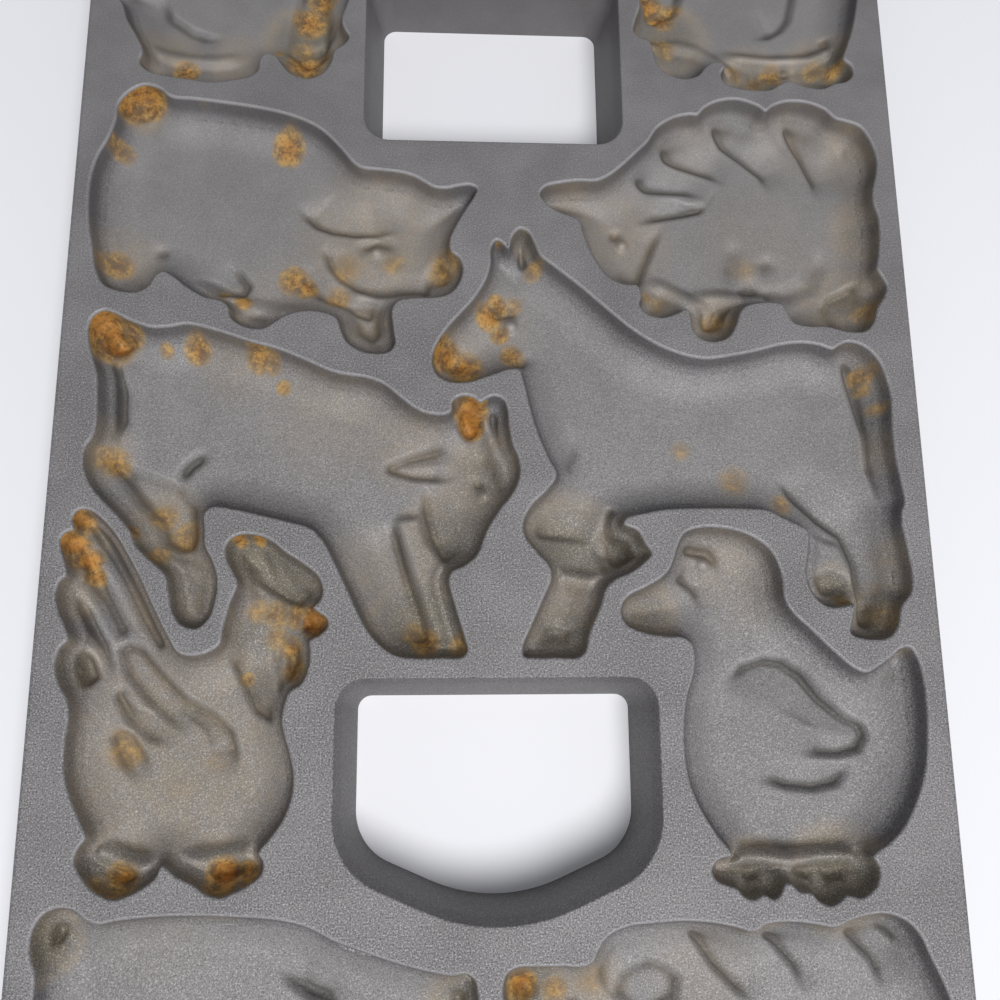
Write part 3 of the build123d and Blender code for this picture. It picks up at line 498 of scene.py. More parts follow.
        ("edge", [(70, 103), (76, 104), (80, 106.5), (82.5, 110), (84.5, 118), (82, 128)], 2.1, 10),
        ("ridge", [(60, 97), (68, 95.8), (76, 95.2), (86, 96), (98, 100)], 2.6, 1.5),
        ("groove", [(70.5, 93.5), (71.2, 88)], 1.2, 1.2),
        ("groove", [(78.5, 95), (80, 90)], 1.2, 1.3),
        ("groove", [(92, 96), (93, 90)], 1.0, 1.2),
        ("dome", [(19, 160)], 1.5, 2.0),
        ("edge", [(60, 140), (70, 150), (84, 152), (96, 146)], 1.8, 9),
    ],
    "calf": [
        ("lobe", [(-103, -121.5), (-98, -119.8), (-94, -122), (-96, -128), (-102, -129.5)], 2.0, 2.2),
        ("groove", [(-99.5, -127), (-96.5, -124), (-92.5, -124.4)], 2.2, 1.2),
        ("edge", [(-50.5, -130.8), (-47, -135), (-43, -138), (-37, -140.5), (-31, -141)], 2.2, 8),
        ("groove", [(-45, -133.5), (-41, -137), (-35, -138.8)], 1.2, 1.2),
        ("lobe", [(-11, -137), (-6, -136.5), (-5.5, -144), (-11, -146)], 1.6, 2.2),
        ("dome", [(-24, -142)], 1.4, 1.9),
    ],
    "sheep": [
        ("edge", [(40, -123.5), (44, -128.5), (48, -134), (53, -139), (58, -143)], 2.4, 10),
        ("edge", [(57, -125.5), (61.5, -129), (66, -134), (69, -141)], 2.3, 10),
        ("edge", [(76, -124.5), (79, -128), (84, -133), (87, -141)], 2.2, 10),
        ("edge", [(83, -124), (92, -131), (95.5, -139)], 1.6, 8),
        ("lobe", [
            (24.5, -139), (27, -134.5), (33, -131.6), (37.5, -132.8), (41, -135.5), (40, -141), (31, -145),
        ], 2.1, 2.2),
        ("edge", [(20.8, -131), (22.5, -136), (26, -141)], 1.8, 6),
        ("lobe", [(1.5, -134.6), (7, -134.2), (9, -138), (4, -141)], 1.8, 2.0),
        ("dome", [(16, -141)], 1.4, 1.9),
    ],
}

# Rust: place, radius and strength
rust = [
    (-92, 79, 6.0, 1.0), (-88, 77.5, 4.0, 0.9), (-94, 74.5, 3.5, 0.9), (-95, 63, 3.0, 0.6),
    (-53.5, 66, 4.2, 0.95), (-94.5, 32.5, 4.0, 0.65), (-63, 23, 2.2, 0.9), (-51, 30, 4.0, 0.8),
    (-48, 28, 3.0, 0.9), (-40, 25.5, 3.5, 0.5), (-38, 34, 4.5, 0.4), (-26, 35, 3.5, 0.4),
    (-13, 33, 4.5, 0.55), (-68, 25, 1.6, 0.7), (-74, 76, 1.8, 0.4), (-96, 15.5, 6.0, 1.0),
    (-94, 11, 4.5, 0.95), (-89, 13.5, 3.2, 0.7), (-81, 10, 2.0, 0.6), (-73.5, 10.3, 3.4, 0.85),
    (-58, 8, 3.6, 0.75), (-55, 6.5, 2.6, 0.6), (-52.5, 1.3, 2.0, 0.7), (-92, -18, 3.8, 0.7),
    (-80, -31, 3.6, 0.55), (-74, -36, 4.2, 0.6), (-85.5, -36.5, 2.0, 0.8), (-79, -41, 2.8, 0.5),
    (-17, -61.5, 3.4, 0.8), (-9, -62, 3.0, 0.5), (-6.3, -6, 4.0, 1.2), (-6, -8.5, 3.2, 1.1),
    (-20, -59, 3.0, 0.5), (-1.8, 20, 3.4, 0.95), (0.5, 23.3, 2.8, 0.8), (1, 16, 2.6, 0.8),
    (5, 24, 2.4, 0.5), (-13, 9, 4.4, 0.95), (-8, 6.5, 4.6, 0.9), (4, 10, 3.2, 0.8), (1.2, 38.5, 1.7, 1.0),
    (9.5, 32, 2.6, 0.5), (92.5, 5, 2.7, 0.65), (92.8, 1.5, 1.9, 0.5), (95, -4, 2.3, 0.4),
    (82.5, -52.3, 2.2, 0.6), (46, -14, 3.0, 0.35), (59, -22, 4.4, 0.4), (70, -28, 3.2, 0.45),
    (93, -56, 4.5, 0.3), (-97.5, -33, 3.4, 0.95), (-98.5, -38.5, 3.2, 1.1), (-95.8, -42, 3.0, 1.1),
    (-94.3, -45.5, 2.4, 0.9), (-100.5, -37, 2.0, 0.9), (-60.3, -37.5, 1.8, 0.9), (-55.7, -37.2, 1.8, 0.9),
    (-43, -56.5, 3.6, 1.2), (-47, -55, 3.2, 0.75), (-52, -54.5, 3.6, 0.6), (-56, -53.8, 3.0, 0.45),
    (-48.5, -62.5, 3.0, 0.75), (-47.5, -67.5, 3.2, 0.7), (-52, -60, 3.0, 0.5), (-85, -86, 4.2, 0.5),
    (-86.5, -82.5, 2.4, 0.35), (-83, -112.5, 3.8, 0.8), (-88, -115, 3.2, 0.6), (-61, -112, 3.8, 1.1),
    (-55.5, -111.5, 2.6, 0.9), (-58.5, -69.5, 1.8, 0.6), (-65, -88, 3.0, 0.25), (-73, -94, 5.0, 0.2),
    (-81, 88, 3.4, 0.85), (-50, 91, 5.0, 0.95), (-51, 97, 3.6, 0.5), (-46, 93, 3.2, 0.7),
    (-49.5, 106, 4.6, 0.9), (-46, 112, 4.6, 0.8), (-57, 94.5, 1.6, 0.5), (46, 109, 4.0, 0.85),
    (43, 114, 4.4, 0.9), (49, 112, 3.4, 0.6), (46, 98.5, 3.6, 0.5), (75.5, 91, 3.4, 0.7),
    (65, 91, 3.0, 0.45), (87, 92.5, 3.0, 0.5), (96, 94.5, 2.8, 0.9), (91, 90.6, 2.4, 0.7),
    (71, 88.6, 3.0, 0.5), (4.5, -136, 3.6, 1.0), (12, -137.5, 3.2, 0.6), (20, -136, 4.0, 0.35),
    (100.5, 47, 2.2, 0.6), (95, 21.5, 4.0, 0.45), (56, 19, 4.0, 0.4), (41, 24, 2.6, 0.35),
    (65, 35, 4.0, 0.3), (38.5, 25.5, 1.8, 0.5), (86, 80, 3.4, 0.2),
]

# Old oil and soot, which browns the iron: place, radius and strength
soot = [
    (-50, -46, 11, 0.9), (-58, -40, 8, 0.9), (-56, -60, 9, 0.75), (-57, -71, 8, 0.7), (-48, -66, 6, 0.7),
    (-72, -86, 30, 0.58), (-88, -98, 16, 0.5), (-60, -98, 16, 0.4), (-98, -67, 8, 0.7), (-99, -50, 8, 0.5),
    (-98, -36, 7, 0.6), (-86, -112, 9, 0.9), (-61, -112, 9, 0.8), (57, -116, 10, 0.9), (77, -115, 12, 0.9),
    (36, -54, 8, 0.7), (55, -41, 14, 0.4), (60, -49, 12, 0.3), (82, -48, 6, 0.8), (94, -56, 9, 0.9),
    (98, -42, 7, 0.5), (97, -15, 7, 0.4), (96, 6, 8, 0.35), (17, -38, 13, 0.85), (31, -38, 7, 0.8),
    (15, -60, 10, 0.8), (18, -52, 9, 0.5), (8, 40, 5, 0.8), (-10, 8, 10, 0.5), (0, 18, 12, 0.3),
    (-10, -36, 14, 0.75), (-2, -22, 13, 0.7), (-18, -58, 14, 0.9), (-30, -44, 12, 0.4), (-12, -52, 10, 0.5),
    (-74, -50, 14, 0.65), (-80, -34, 12, 0.55), (-96, -16, 9, 0.5), (-40, -4, 20, 0.35),
    (-22, -14, 12, 0.45), (-95, 14, 8, 0.9), (-62, 9, 14, 0.35), (-92, 78, 8, 0.9), (-30, 40, 22, 0.5),
    (-12, 36, 10, 0.55), (-32, 17, 10, 0.45), (-50, 24, 16, 0.35), (-93, 34, 10, 0.45), (-66, 21, 8, 0.5),
    (32, 42, 16, 0.45), (19, 56, 9, 0.45), (56, 20, 9, 0.6), (42, 25, 7, 0.5), (90, 24, 14, 0.6),
    (99, 45, 12, 0.7), (98, 70, 14, 0.5), (70, 40, 24, 0.25), (80, 74, 16, 0.3), (52, 72, 14, 0.25),
    (-50, 98, 12, 0.9), (-86, 91, 10, 0.6), (-68, 91, 10, 0.5), (47, 102, 12, 0.9), (70, 91, 10, 0.7),
    (90, 93, 11, 0.8), (-99, -125, 8, 1.1), (-8, -140, 9, 0.8), (-75, -123, 16, 0.2), (6, -138, 10, 0.9),
    (20, -138, 10, 0.5), (45, -134, 14, 0.3),
]


def smooth(t):
    """0 up to 0 and 1 from 1 on, with a smooth step between."""
    t = min(max(t, 0.0), 1.0)
    return t * t * (3 - 2 * t)


def down_to_floor(x, y):
    """A place read off the photograph at deck level, carried down its sight line to the floor."""
    cx, cy, cz = (c / mm for c in camera_place)
    grown = 1 + cavity_depth / (cz - deck / mm)
    return cx + (x - cx) * grown, cy + (y - cy) * grown


def lengths_along(points):
    """How far along a line each of its points is."""
    total = [0.0]
    for (x0, y0), (x1, y1) in zip(points, points[1:]):
        total.append(total[-1] + hypot(x1 - x0, y1 - y0))
    return total


def from_line(x, y, points, lengths):
    """Distance from a line, positive on its left, and how far along the nearest point is."""
    best, side, place = inf, 1, 0.0
    for i, ((x0, y0), (x1, y1)) in enumerate(zip(points, points[1:])):
        dx, dy = x1 - x0, y1 - y0
        run = lengths[i + 1] - lengths[i]
        t = min(max(((x - x0) * dx + (y - y0) * dy) / (run * run), 0.0), 1.0)
        away = hypot(x - x0 - t * dx, y - y0 - t * dy)
        if away < best:
            best, place = away, lengths[i] + t * run
            side = 1 if dx * (y - y0) - dy * (x - x0) > 0 else -1
    return best * side, place


def inside(x, y, points):
    """Whether a place is inside a closed outline."""
    within = False
    for (x0, y0), (x1, y1) in zip(points, points[1:]):
        if (y0 > y) != (y1 > y) and x < (x1 - x0) * (y - y0) / (y1 - y0) + x0:
            within = not within
    return within


def finder(places):
    """A tree that finds the nearest of some places."""
    tree = KDTree(len(places))
    for i, place in enumerate(places):
        tree.insert(place, i)
    tree.balance()
    return tree


class Feature:
    """One piece of relief, asked for its depth at a place.

    An edge is a step down on its line's left, from where the floor rises again over the reach. A groove is
    pressed in along its line, and a ridge stands up. A lobe is an area sunk as a whole, with a slope as
    wide as the reach inside its line, and a dome is a round stud.
    """

    def __init__(self, kind, points, amount, size, near_wall):
        self.kind = kind
        points = [down_to_floor(*point) for point in points]
        if kind == "lobe":
            points = points + points[:1]
        elif kind != "dome":
            points, self.fades = self.run_on(points, near_wall)
        self.points, self.amount, self.size = points, amount, size
        self.start = edge_start if kind == "edge" else other_start
        self.lengths = lengths_along(points)
        # The box outside which it does nothing
        xs, ys = zip(*points)
        reach = size * 3 if kind in ("groove", "ridge") else size + 1
        self.low = (min(xs) - reach, min(ys) - reach)
        self.high = (max(xs) + reach, max(ys) + reach)

    def run_on(self, points, near_wall):
        """Takes an end that lies at the wall on under it, and gives how slowly each end fades."""
        fades = []
        for _ in range(2):
            points = points[::-1]
            (x, y), (x1, y1) = points[-1], points[-2]
            gap = near_wall.find(Vector((x * mm, y * mm, foot_level)))[2] / mm
            if gap < end_at_rim:
                run = hypot(x - x1, y - y1)
                points = points + [(x + (x - x1) / run * run_under, y + (y - y1) / run * run_under)]
                fades.append(fade_under)
            else:
                fade = max(free_fade * lengths_along(points)[-1], free_fade_least)
                fades.append(min(fade, free_fade_most))
        return points, fades

    def depth(self, x, y):
        """How much deeper it makes the floor at a place."""
        if not (self.low[0] < x < self.high[0] and self.low[1] < y < self.high[1]):
            return 0.0
        if self.kind == "dome":
            away = hypot(x - self.points[0][0], y - self.points[0][1]) / self.size
            return -self.amount * (1 - away * away) if away < 1 else 0.0
        away, place = from_line(x, y, self.points, self.lengths)
        if self.kind == "lobe":
            away = abs(away) if inside(x, y, self.points) else -abs(away)
            return self.amount * smooth((away + lobe_lap) / (self.size + lobe_lap))
        taper = smooth(min(place / self.fades[0], (self.lengths[-1] - place) / self.fades[1]))
        if self.kind == "edge":
            slope = max(1 - max(away, 0.0) / self.size, 0.0) ** edge_curve
            return self.amount * taper * smooth((away + edge_step / 2) / edge_step) * slope
        bell = max(1 - (away / (2 * self.size)) ** 2, 0.0) ** 2
        return self.amount * taper * bell * (1 if self.kind == "groove" else -1)


def curve_through(points, step):
    """A smooth closed line through the points in short even steps."""
    line = []
    count = len(points)
    for i in range(count):
        before, start, end, after = (Vector(points[(i + k) % count]) for k in (-1, 0, 1, 2))
        gaps = [(q - p).length ** 0.5 for p, q in ((before, start), (start, end), (end, after))]
        leave = (start - before) / gaps[0] - (end - before) / (gaps[0] + gaps[1]) + (end - start) / gaps[1]
        arrive = (end - start) / gaps[1] - (after - start) / (gaps[1] + gaps[2]) + (after - end) / gaps[2]
        leave, arrive = leave * gaps[1], arrive * gaps[1]
        steps = max(round((end - start).length / step), 1)
        for k in range(steps):
            t = k / steps
            line.append(
                start * (2 * t ** 3 - 3 * t * t + 1) + leave * (t ** 3 - 2 * t * t + t)
                + end * (3 * t * t - 2 * t ** 3) + arrive * (t ** 3 - t * t)
            )
    return line


def around(items):
    """Each item of a closed row between the one before it and the one after."""
    return list(zip(items[-1:] + items[:-1], items, items[1:] + items[:1]))


def ways_out(line):
    """The way out of a closed line at each of its points."""
    normals = []
    for before, _, after in around(line):
        along = after - before
        normals.append(Vector((along.y, -along.x)).normalized())
    return [sum(near, Vector((0, 0))).normalized() for near in around(normals)]


def room_inside(line, ways):
    """How far in each point can move before it meets another part of the line."""
    tree = finder([point.to_3d() for point in line])
    room = []
    for point, way in zip(line, ways):
        far = 0.0
        while far < wall_inset:
            far += probe_step
            if tree.find((point - way * far).to_3d())[2] < clear_share * far - clear_slack:
                far -= probe_step
                break
        room.append(far)
    for _ in range(room_passes):
        room = [min(mid, left + room_change, right + room_change) for left, mid, right in around(room)]
    return room


def only(kind, found):
    """The faces, edges or vertices among what an operator gives."""
    return [part for part in found["geom"] if isinstance(part, kind)]


def on_deck(part):
    """Whether a face or an edge lies on top of the plate."""
    return all(abs(vert.co.z - deck) < same_place for vert in part.verts)


def solid_copy(name):
    """A copy of a solid, with the corners of its triangles joined."""
    bm = bmesh.new()
    bm.from_mesh(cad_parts[name].data)
    bmesh.ops.remove_doubles(bm, verts=bm.verts, dist=same_place)
    return bm


def open_cavity(bm):
    """Takes the solid's cavity and deck away, and gives the deck's border."""
    floor = deck - cavity_depth * mm
    found = [
        face for face in bm.faces
        if face.normal.z > level_face and abs(face.calc_center_median().z - floor) < same_level
    ]
    cavity = set()
    while found:
        face = found.pop()
        if face not in cavity and not on_deck(face):
            cavity.add(face)
            found += [near for edge in face.edges for near in edge.link_faces]
    gone = list(cavity) + [face for face in bm.faces if on_deck(face)]
    bmesh.ops.delete(bm, geom=gone, context="FACES")
    return [edge for edge in bm.edges if edge.is_boundary]


def rim_and_walls(bm, outline, border, hollow):
    """Fills the deck up to a cavity's rim, draws the walls down and gives the edges of their foot."""
    line = curve_through(outline, rim_step)
    ways = ways_out(line)
    room = room_inside(line, ways)

    def row(inset, depth):
        return [
            Vector((*(point - way * min(inset, far)), deck / mm - depth)) * mm
            for point, way, far in zip(line, ways, room)
        ]

    verts = [bm.verts.new(place) for place in row(*rim_profile[0])]
    loop = [bm.edges.new(pair) for pair in zip(verts, verts[1:] + verts[:1])]
    filled = bmesh.ops.triangle_fill(bm, use_beauty=True, edges=border + loop, normal=(0, 0, 1))
    bmesh.ops.reverse_faces(bm, faces=[face for face in only(BMFace, filled) if face.normal.z < 0])
    for inset, depth in rim_profile[1:]:
        made = bmesh.ops.extrude_edge_only(bm, edges=loop)
        loop = only(BMEdge, made)
        fresh = set(only(BMVert, made))
        verts = [next(e.other_vert(v) for e in v.link_edges if e.other_vert(v) in fresh) for v in verts]
        for vert, place in zip(verts, row(inset, depth)):
            vert.co = place
            # the rim's upper rows carry a painted highlight with some wear
            vert[hollow] = rim_sheen_and_wear if depth < rim_sheen_depth else 0.0
    bmesh.ops.remove_doubles(bm, verts=verts, dist=foot_merge * mm)
    return [edge for edge in bm.edges if edge.is_boundary]


def slice_floor(bm, faces, way, low, high):
    """Cuts faces across at even steps and gives the pieces."""
    done, place = [], low + floor_spacing * mm / 2
    while place < high and faces:
        geom = list(dict.fromkeys(part for face in faces for part in (face, *face.edges, *face.verts)))
        cut = bmesh.ops.bisect_plane(bm, geom=geom, plane_co=way * place, plane_no=way, dist=same_cut)
        pieces = only(BMFace, cut)
        faces = [face for face in pieces if face.calc_center_median().dot(way) > place]
        done += [face for face in pieces if face.calc_center_median().dot(way) <= place]
        place += floor_spacing * mm
    return done + faces


def close_floor(bm, foot):
    """Closes a cavity with small faces, and gives their vertices that no wall shares."""
    floor = bmesh.ops.contextual_create(bm, geom=foot)["faces"]
    held = [vert.co.copy() for face in floor for vert in face.verts]
    for way in (Vector((1, 0, 0)), Vector((0, 1, 0))):
        places = [place.dot(way) for place in held]
        floor = slice_floor(bm, floor, way, min(places), max(places))
    verts = dict.fromkeys(vert for face in floor for vert in face.verts)
    return [vert for vert in verts if all(abs(face.normal.z) > floor_face for face in vert.link_faces)]


def even_out(bm, verts, passes):
    """Smooths the height of some vertices."""
    for _ in range(passes):
        bmesh.ops.smooth_vert(bm, verts=verts, factor=0.5, use_axis_z=True)


def sink_floor(bm, verts, features, near_wall):
    """Sinks a floor to a bowl, and then presses its relief in."""
    away = [near_wall.find(vert.co)[2] / mm for vert in verts]
    sunk = [[f.depth(vert.co.x / mm, vert.co.y / mm) for f in features] for vert in verts]
    for vert, far, depths in zip(verts, away, sunk):
        swell = max((d / f.amount for d, f in zip(depths, features) if f.kind == "lobe"), default=0.0)
        rest = max(1 - far / (bowl_reach - lobe_reach * swell), 0.0) ** bowl_curve
        vert.co.z = deck - (wall_bottom + (cavity_depth - wall_bottom) * (1 - rest)) * mm
    even_out(bm, verts, bowl_passes)
    for vert, far, depths in zip(verts, away, sunk):
        vert.co.z -= sum(smooth(far / f.start) * d for d, f in zip(depths, features)) * mm
    even_out(bm, verts, relief_passes)
    for vert in verts:
        vert.co.z = max(vert.co.z, lowest_floor)


def mark_hollows(bm, verts, layer):
    """Writes how far each floor vertex lies under the floor round it, in millimetres."""
    heights = [vert.co.z for vert in verts]
    even_out(bm, verts, round_passes)
    for vert, height in zip(verts, heights):
        vert[layer] = (vert.co.z - height) / mm
        vert.co.z = height
    for _ in range(hollow_passes):
        groups = [(vert, *(edge.other_vert(vert) for edge in vert.link_edges)) for vert in verts]
        evened = [sum(near[layer] for near in group) / len(group) for group in groups]
        for vert, value in zip(verts, evened):
            vert[layer] = value


def mold_piece(animal):
    """A mold with its rounded rim, drafted walls and sculpted floor."""
    bm = solid_copy(f"{animal}_mold")
    hollow = bm.verts.layers.float.new("hollow")
    border = open_cavity(bm)
    foot = rim_and_walls(bm, outlines[animal], border, hollow)
    steps = [k / foot_samples for k in range(foot_samples)]
    near_wall = finder([edge.verts[0].co.lerp(edge.verts[1].co, step) for edge in foot for step in steps])
    verts = close_floor(bm, foot)
    sink_floor(bm, verts, [Feature(*line, near_wall) for line in relief[animal]], near_wall)
    mark_hollows(bm, verts, hollow)
    finish_piece(bm, f"{animal}_casting", f"{animal}_mold")


def window_frame(name):
    """A window frame with the edge of its hand hole rounded."""
    bm = solid_copy(name)
    low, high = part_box(name)
    middle = (Vector(low) + Vector(high)) / 2
    edges = []
    for edge in bm.edges:
        walls = [face for face in edge.link_faces if not on_deck(face)]
        if len(walls) == 1 and len(edge.link_faces) == 2 and on_deck(edge):
            if (middle - walls[0].calc_center_median()).xy.dot(walls[0].normal.xy) > 0:
                edges.append(edge)
    bmesh.ops.bevel(
        bm, geom=edges, offset=hole_rounding * mm, affect="EDGES", segments=hole_segments,
        profile=0.5, material=-1,
    )
    finish_piece(bm, f"{name}_casting", name)


def spots_near(spots, low, high):
    """The spots of a list that fall on a node, at their places on the floor."""
    spots = [(*down_to_floor(*spot[:2]), *spot[2:]) for spot in spots]
    return [
        spot for spot in spots
        if all(low[i] / mm - spot_distance < spot[i] < high[i] / mm + spot_distance for i in (0, 1))
    ]


def paint(mesh, name, spots):
    """Writes the strength of the spots at each vertex as an attribute."""
    layer = mesh.attributes.new(name, "FLOAT", "POINT")
    for vert in mesh.vertices:
        x, y = vert.co.x / mm, vert.co.y / mm
        amount = 0.0
        if vert.co.z < deck - spots_under * mm:
            for sx, sy, radius, strength in spots:
                away = ((x - sx) ** 2 + (y - sy) ** 2) / (radius * radius)
                if away < spot_spread:
                    amount = max(amount, strength * (1 - away / spot_spread))
        layer.data[vert.index].value = amount


def finish_piece(bm, name, node):
    """Makes a casting an object that rides on the plate in place of its solid."""
    for face in bm.faces:
        face.smooth = True
    for edge in bm.edges:
        edge.smooth = not (len(edge.link_faces) == 2 and edge.calc_face_angle(0.0) > crease)
    mesh = bpy.data.meshes.new(name)
    bm.to_mesh(mesh)
    bm.free()
    low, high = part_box(node)
    paint(mesh, "rust", spots_near(rust, low, high))
    paint(mesh, "soot", spots_near(soot, low, high))
    mesh.materials.append(iron)
    piece = bpy.data.objects.new(name, mesh)
    bpy.context.collection.objects.link(piece)
    weighted = piece.modifiers.new("even shading", "WEIGHTED_NORMAL")
    weighted.keep_sharp = True
    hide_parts(node)
    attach(piece, "root")


def skirt_iron():
    """Puts the same iron on the skirt, which keeps its solids."""
    for name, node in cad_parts.items():
        if name.endswith("_skirt"):
            for slot in node.material_slots:
                slot.material = iron


def shade(colour):
    """A colour from 0 to 255 as light values."""
    return tuple(pow(c / 255, 2.2) for c in colour) + (1.0,)


class Graph:
    """The nodes of a material or a group. All but fill add to them, and give what comes out."""

    def __init__(self, tree):
        self.nodes, self.links = tree.nodes, tree.links

    def fill(self, socket, value):
        """Puts a number, a colour or what comes out of a node into a socket."""
        if isinstance(value, tuple):
            socket.default_value = shade(value)
        elif isinstance(value, (int, float)):
            socket.default_value = value
        else:
            self.links.new(value, socket)

    def noise(self, place, size, detail, roughness):
        """Noise with features about this size in metres."""
        node = self.nodes.new("ShaderNodeTexNoise")
        given = {"Scale": 1 / size, "Detail": detail, "Roughness": roughness, "Vector": place}
        for label, value in given.items():
            self.fill(node.inputs[label], value)
        return node.outputs["Fac"]

    def maths(self, operation, *values):
        """A calculation with one to three values."""
        node = self.nodes.new("ShaderNodeMath")
        node.operation = operation
        for socket, value in zip(node.inputs, values):
            self.fill(socket, value)
        return node.outputs[0]

    def times(self, a, b):
        """One value times another."""
        return self.maths("MULTIPLY", a, b)

    def ramp(self, value, low, high):
        """0 at one value and 1 at another, with a smooth step between."""
        node = self.nodes.new("ShaderNodeMapRange")
        node.interpolation_type = "SMOOTHSTEP"
        given = {"From Min": low, "From Max": high, "Value": value}
        for label, number in given.items():
            self.fill(node.inputs[label], number)
        return node.outputs["Result"]

    def mix(self, mask, under, over):
        """One colour, and another where the mask is 1."""
        node = self.nodes.new("ShaderNodeMix")
        node.data_type = "RGBA"
        for index, value in ((0, mask), (6, under), (7, over)):
            self.fill(node.inputs[index], value)
        return node.outputs[2]

    def coat(self, under, over, mask, strength):
        """A colour with a coat of another, where the mask is 1 and as thick as the strength."""
        return self.mix(self.times(mask, strength), under, over)

    def parts(self, vector):
        """A vector's X, Y and Z."""
        node = self.nodes.new("ShaderNodeSeparateXYZ")
        self.links.new(vector, node.inputs[0])
        return node.outputs

    def attribute(self, name):
        """A value that the mesh holds at its vertices."""
        node = self.nodes.new("ShaderNodeAttribute")
        node.attribute_name = name
        return node.outputs["Fac"]


def sand_grain():
    """Group: the pitted skin that molding sand leaves, as a height, light specks and dark pits."""
    group = bpy.data.node_groups.new("sand grain", "ShaderNodeTree")
    group.interface.new_socket(name="Place", in_out="INPUT", socket_type="NodeSocketVector")
    for label in ("Height", "Specks", "Pits"):
        group.interface.new_socket(name=label, in_out="OUTPUT", socket_type="NodeSocketFloat")
    graph = Graph(group)
    place = graph.nodes.new("NodeGroupInput").outputs["Place"]
    out = graph.nodes.new("NodeGroupOutput").inputs
    fine = graph.noise(place, fine_grain, 2.0, 0.7)
    coarse = graph.noise(place, coarse_grain, 2.0, 0.5)
    graph.fill(out["Height"], graph.maths("MULTIPLY_ADD", coarse, 0.7, fine))
    graph.fill(out["Specks"], graph.ramp(fine, 0.5, 0.7))
    graph.fill(out["Pits"], graph.ramp(fine, 0.48, 0.3))
    return group


def bare_iron(graph, place, patches, specks, pits):
    """Grained iron with painted light and shade: paler floors, shaded walls, shaded grimy hollows and lit
    worn rims.
    """
    facing = graph.parts(graph.nodes.new("ShaderNodeNewGeometry").outputs["Normal"])
    hollow = graph.attribute("hollow")
    blotches = graph.noise(place, blotch_size, 3.0, 0.6)
    low = graph.ramp(graph.parts(place)["Z"], deck - pale_from * mm, deck - pale_to * mm)
    colour = graph.mix(graph.ramp(blotches, 0.3, 0.7), iron_dark, iron_pale)
    colour = graph.coat(colour, grain_speck, specks, 0.6)
    colour = graph.coat(colour, grain_pit, pits, 0.85)
    # Painted light: the floors deep in a cavity are painted paler, to lift the shade that falls there
    colour = graph.coat(colour, floor_painted_light, low, 0.25)
    # Painted shade: steep walls are painted darker
    colour = graph.coat(colour, wall_painted_shade, graph.ramp(facing["Z"], 0.75, 0.2), 0.4)
    # Painted shade with some grime: hollows in the floor are painted darker
    colour = graph.coat(colour, hollow_grime_and_shade, graph.ramp(hollow, 0.04, 0.45), 0.7)
    # Painted highlight with some real wear: rims and raised places are painted brighter where they face the
    # lamp's side
    lit_and_rubbed = graph.maths("MULTIPLY_ADD", graph.ramp(facing["Y"], 0.1, -0.3), 0.3, 0.06)
    lit_and_rubbed = graph.times(lit_and_rubbed, graph.maths("ADD", patches, 0.4))
    return graph.coat(colour, rim_highlight_and_wear, graph.ramp(hollow, -0.06, -0.5), lit_and_rubbed)


def sooted(graph, colour, patches, specks):
    """The colour with a film of old oil and soot."""
    soot_spot = graph.attribute("soot")
    patchy = graph.times(soot_spot, graph.maths("ADD", patches, 0.35))
    film = graph.mix(patches, soot_dark, soot_pale)
    film = graph.coat(film, soot_thin, graph.ramp(soot_spot, 0.75, 0.35), 0.8)
    film = graph.mix(specks, film, soot_speck)
    return graph.coat(colour, film, graph.ramp(patchy, 0.0, 1.0), 0.85)


def rusted(graph, colour, place):
    """The colour with rust, and the mask of where the rust is."""
    rust_spot = graph.attribute("rust")
    torn = graph.noise(place, torn_size, 4.0, 0.75)
    crumbs = graph.noise(place, crumb_size, 3.0, 0.7)
    colour = graph.coat(colour, rust_halo, graph.ramp(rust_spot, 0.0, 0.5), 0.4)
    ragged = graph.maths("MULTIPLY_ADD", graph.maths("SUBTRACT", torn, 0.5), 0.9, rust_spot)
    ragged = graph.times(ragged, graph.ramp(rust_spot, 0.0, 0.4))
    crust = graph.mix(graph.ramp(torn, 0.36, 0.66), rust_dark, rust_pale)
    crust = graph.coat(crust, rust_bloom, graph.ramp(ragged, 0.6, 1.1), 0.7)
    crust = graph.coat(crust, rust_flake, graph.ramp(crumbs, 0.5, 0.36), 0.5)
    mask = graph.times(graph.ramp(ragged, -0.05, 0.85), 0.88)
    return graph.mix(mask, colour, crust), mask


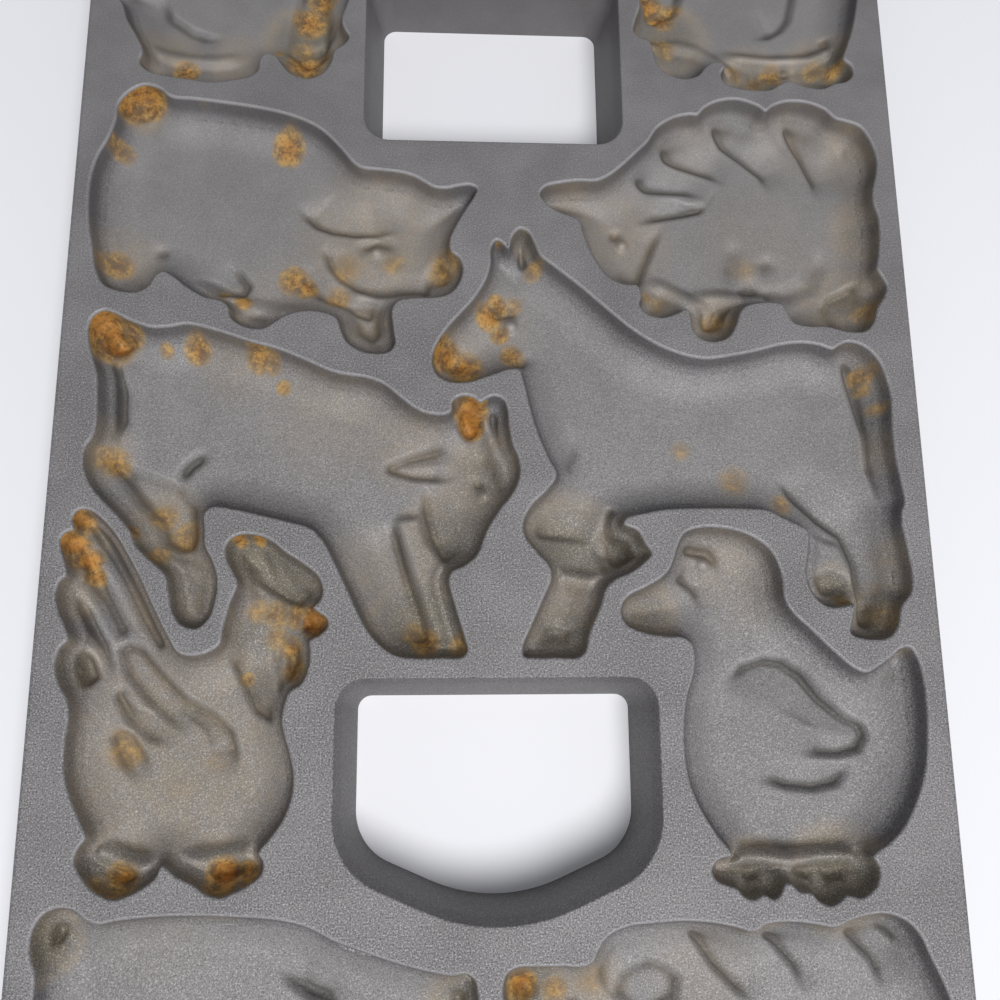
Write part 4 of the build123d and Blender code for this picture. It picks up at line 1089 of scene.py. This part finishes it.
def cast_iron():
    """Grey cast iron with sand grain, brown soot in the deep places and rust spots."""
    material = bpy.data.materials.new("cast iron")
    material.use_nodes = True
    graph = Graph(material.node_tree)
    place = graph.nodes.new("ShaderNodeTexCoord").outputs["Object"]
    grain = graph.nodes.new("ShaderNodeGroup")
    grain.node_tree = sand_grain()
    graph.fill(grain.inputs["Place"], place)
    # The grain grows stronger towards the plate's near side; on its light specks this is a painted glint of
    # the lamp, and it also deepens the bump
    grain_and_glint_strength = graph.ramp(graph.parts(place)["Y"], grain_from, grain_to)
    grain_and_glint_strength = graph.maths("MULTIPLY_ADD", grain_and_glint_strength, 0.75, 0.25)
    specks = graph.times(grain.outputs["Specks"], grain_and_glint_strength)
    pits = graph.times(grain.outputs["Pits"], grain_and_glint_strength)
    patches = graph.noise(place, patch_size, 3.0, 0.6)
    colour = bare_iron(graph, place, patches, specks, pits)
    colour = sooted(graph, colour, patches, specks)
    colour, rust_mask = rusted(graph, colour, place)

    bump = graph.nodes.new("ShaderNodeBump")
    graph.fill(bump.inputs["Distance"], grain_height)
    graph.fill(bump.inputs["Strength"], graph.times(grain_and_glint_strength, 0.8))
    graph.fill(bump.inputs["Height"], grain.outputs["Height"])
    shader = graph.nodes["Principled BSDF"].inputs
    graph.fill(shader["Base Color"], colour)
    graph.fill(shader["Roughness"], graph.maths("MULTIPLY_ADD", specks, -0.15, 0.68))
    graph.fill(shader["Metallic"], graph.maths("MULTIPLY_ADD", rust_mask, -0.3, 0.3))
    graph.fill(shader["Normal"], bump.outputs["Normal"])
    return material


def stage():
    """A pale matt table."""
    bpy.ops.mesh.primitive_plane_add(size=table_side)
    table = bpy.context.object
    table.name = "table"
    material = bpy.data.materials.new("table")
    material.use_nodes = True
    shader = material.node_tree.nodes["Principled BSDF"].inputs
    shader["Base Color"].default_value = shade(table_white)
    shader["Roughness"].default_value = table_roughness
    table.data.materials.append(material)


def room_light():
    """Pale light from all round."""
    world = bpy.data.worlds.new("room")
    world.use_nodes = True
    background = world.node_tree.nodes["Background"].inputs
    background["Color"].default_value = room_colour
    background["Strength"].default_value = room_strength
    bpy.context.scene.world = world


def window_light():
    """A wide soft lamp, high up beyond the plate's near end."""
    light = bpy.data.lights.new("window light", "AREA")
    light.shape = "DISK"
    light.size = lamp_size
    light.energy = lamp_power
    lamp = bpy.data.objects.new("window light", light)
    lamp.location = lamp_place
    lamp.rotation_euler = (Vector(lamp_target) - Vector(lamp_place)).to_track_quat("-Z", "Y").to_euler()
    bpy.context.collection.objects.link(lamp)


def camera():
    """The camera, at the photograph's viewing angle."""
    data = bpy.data.cameras.new("camera")
    data.sensor_width = sensor_width
    data.lens = camera_lens
    data.clip_start = nearest_seen
    camera_object = bpy.data.objects.new("camera", data)
    camera_object.location = camera_place
    camera_object.rotation_euler = [radians(a) for a in camera_turn]
    bpy.context.collection.objects.link(camera_object)
    bpy.context.scene.camera = camera_object


iron = cast_iron()
for animal in relief:
    mold_piece(animal)
window_frame("upper_window_frame")
window_frame("lower_window_frame")
skirt_iron()
stage()
room_light()
window_light()
camera()
bpy.context.scene.view_settings.view_transform = "Standard"
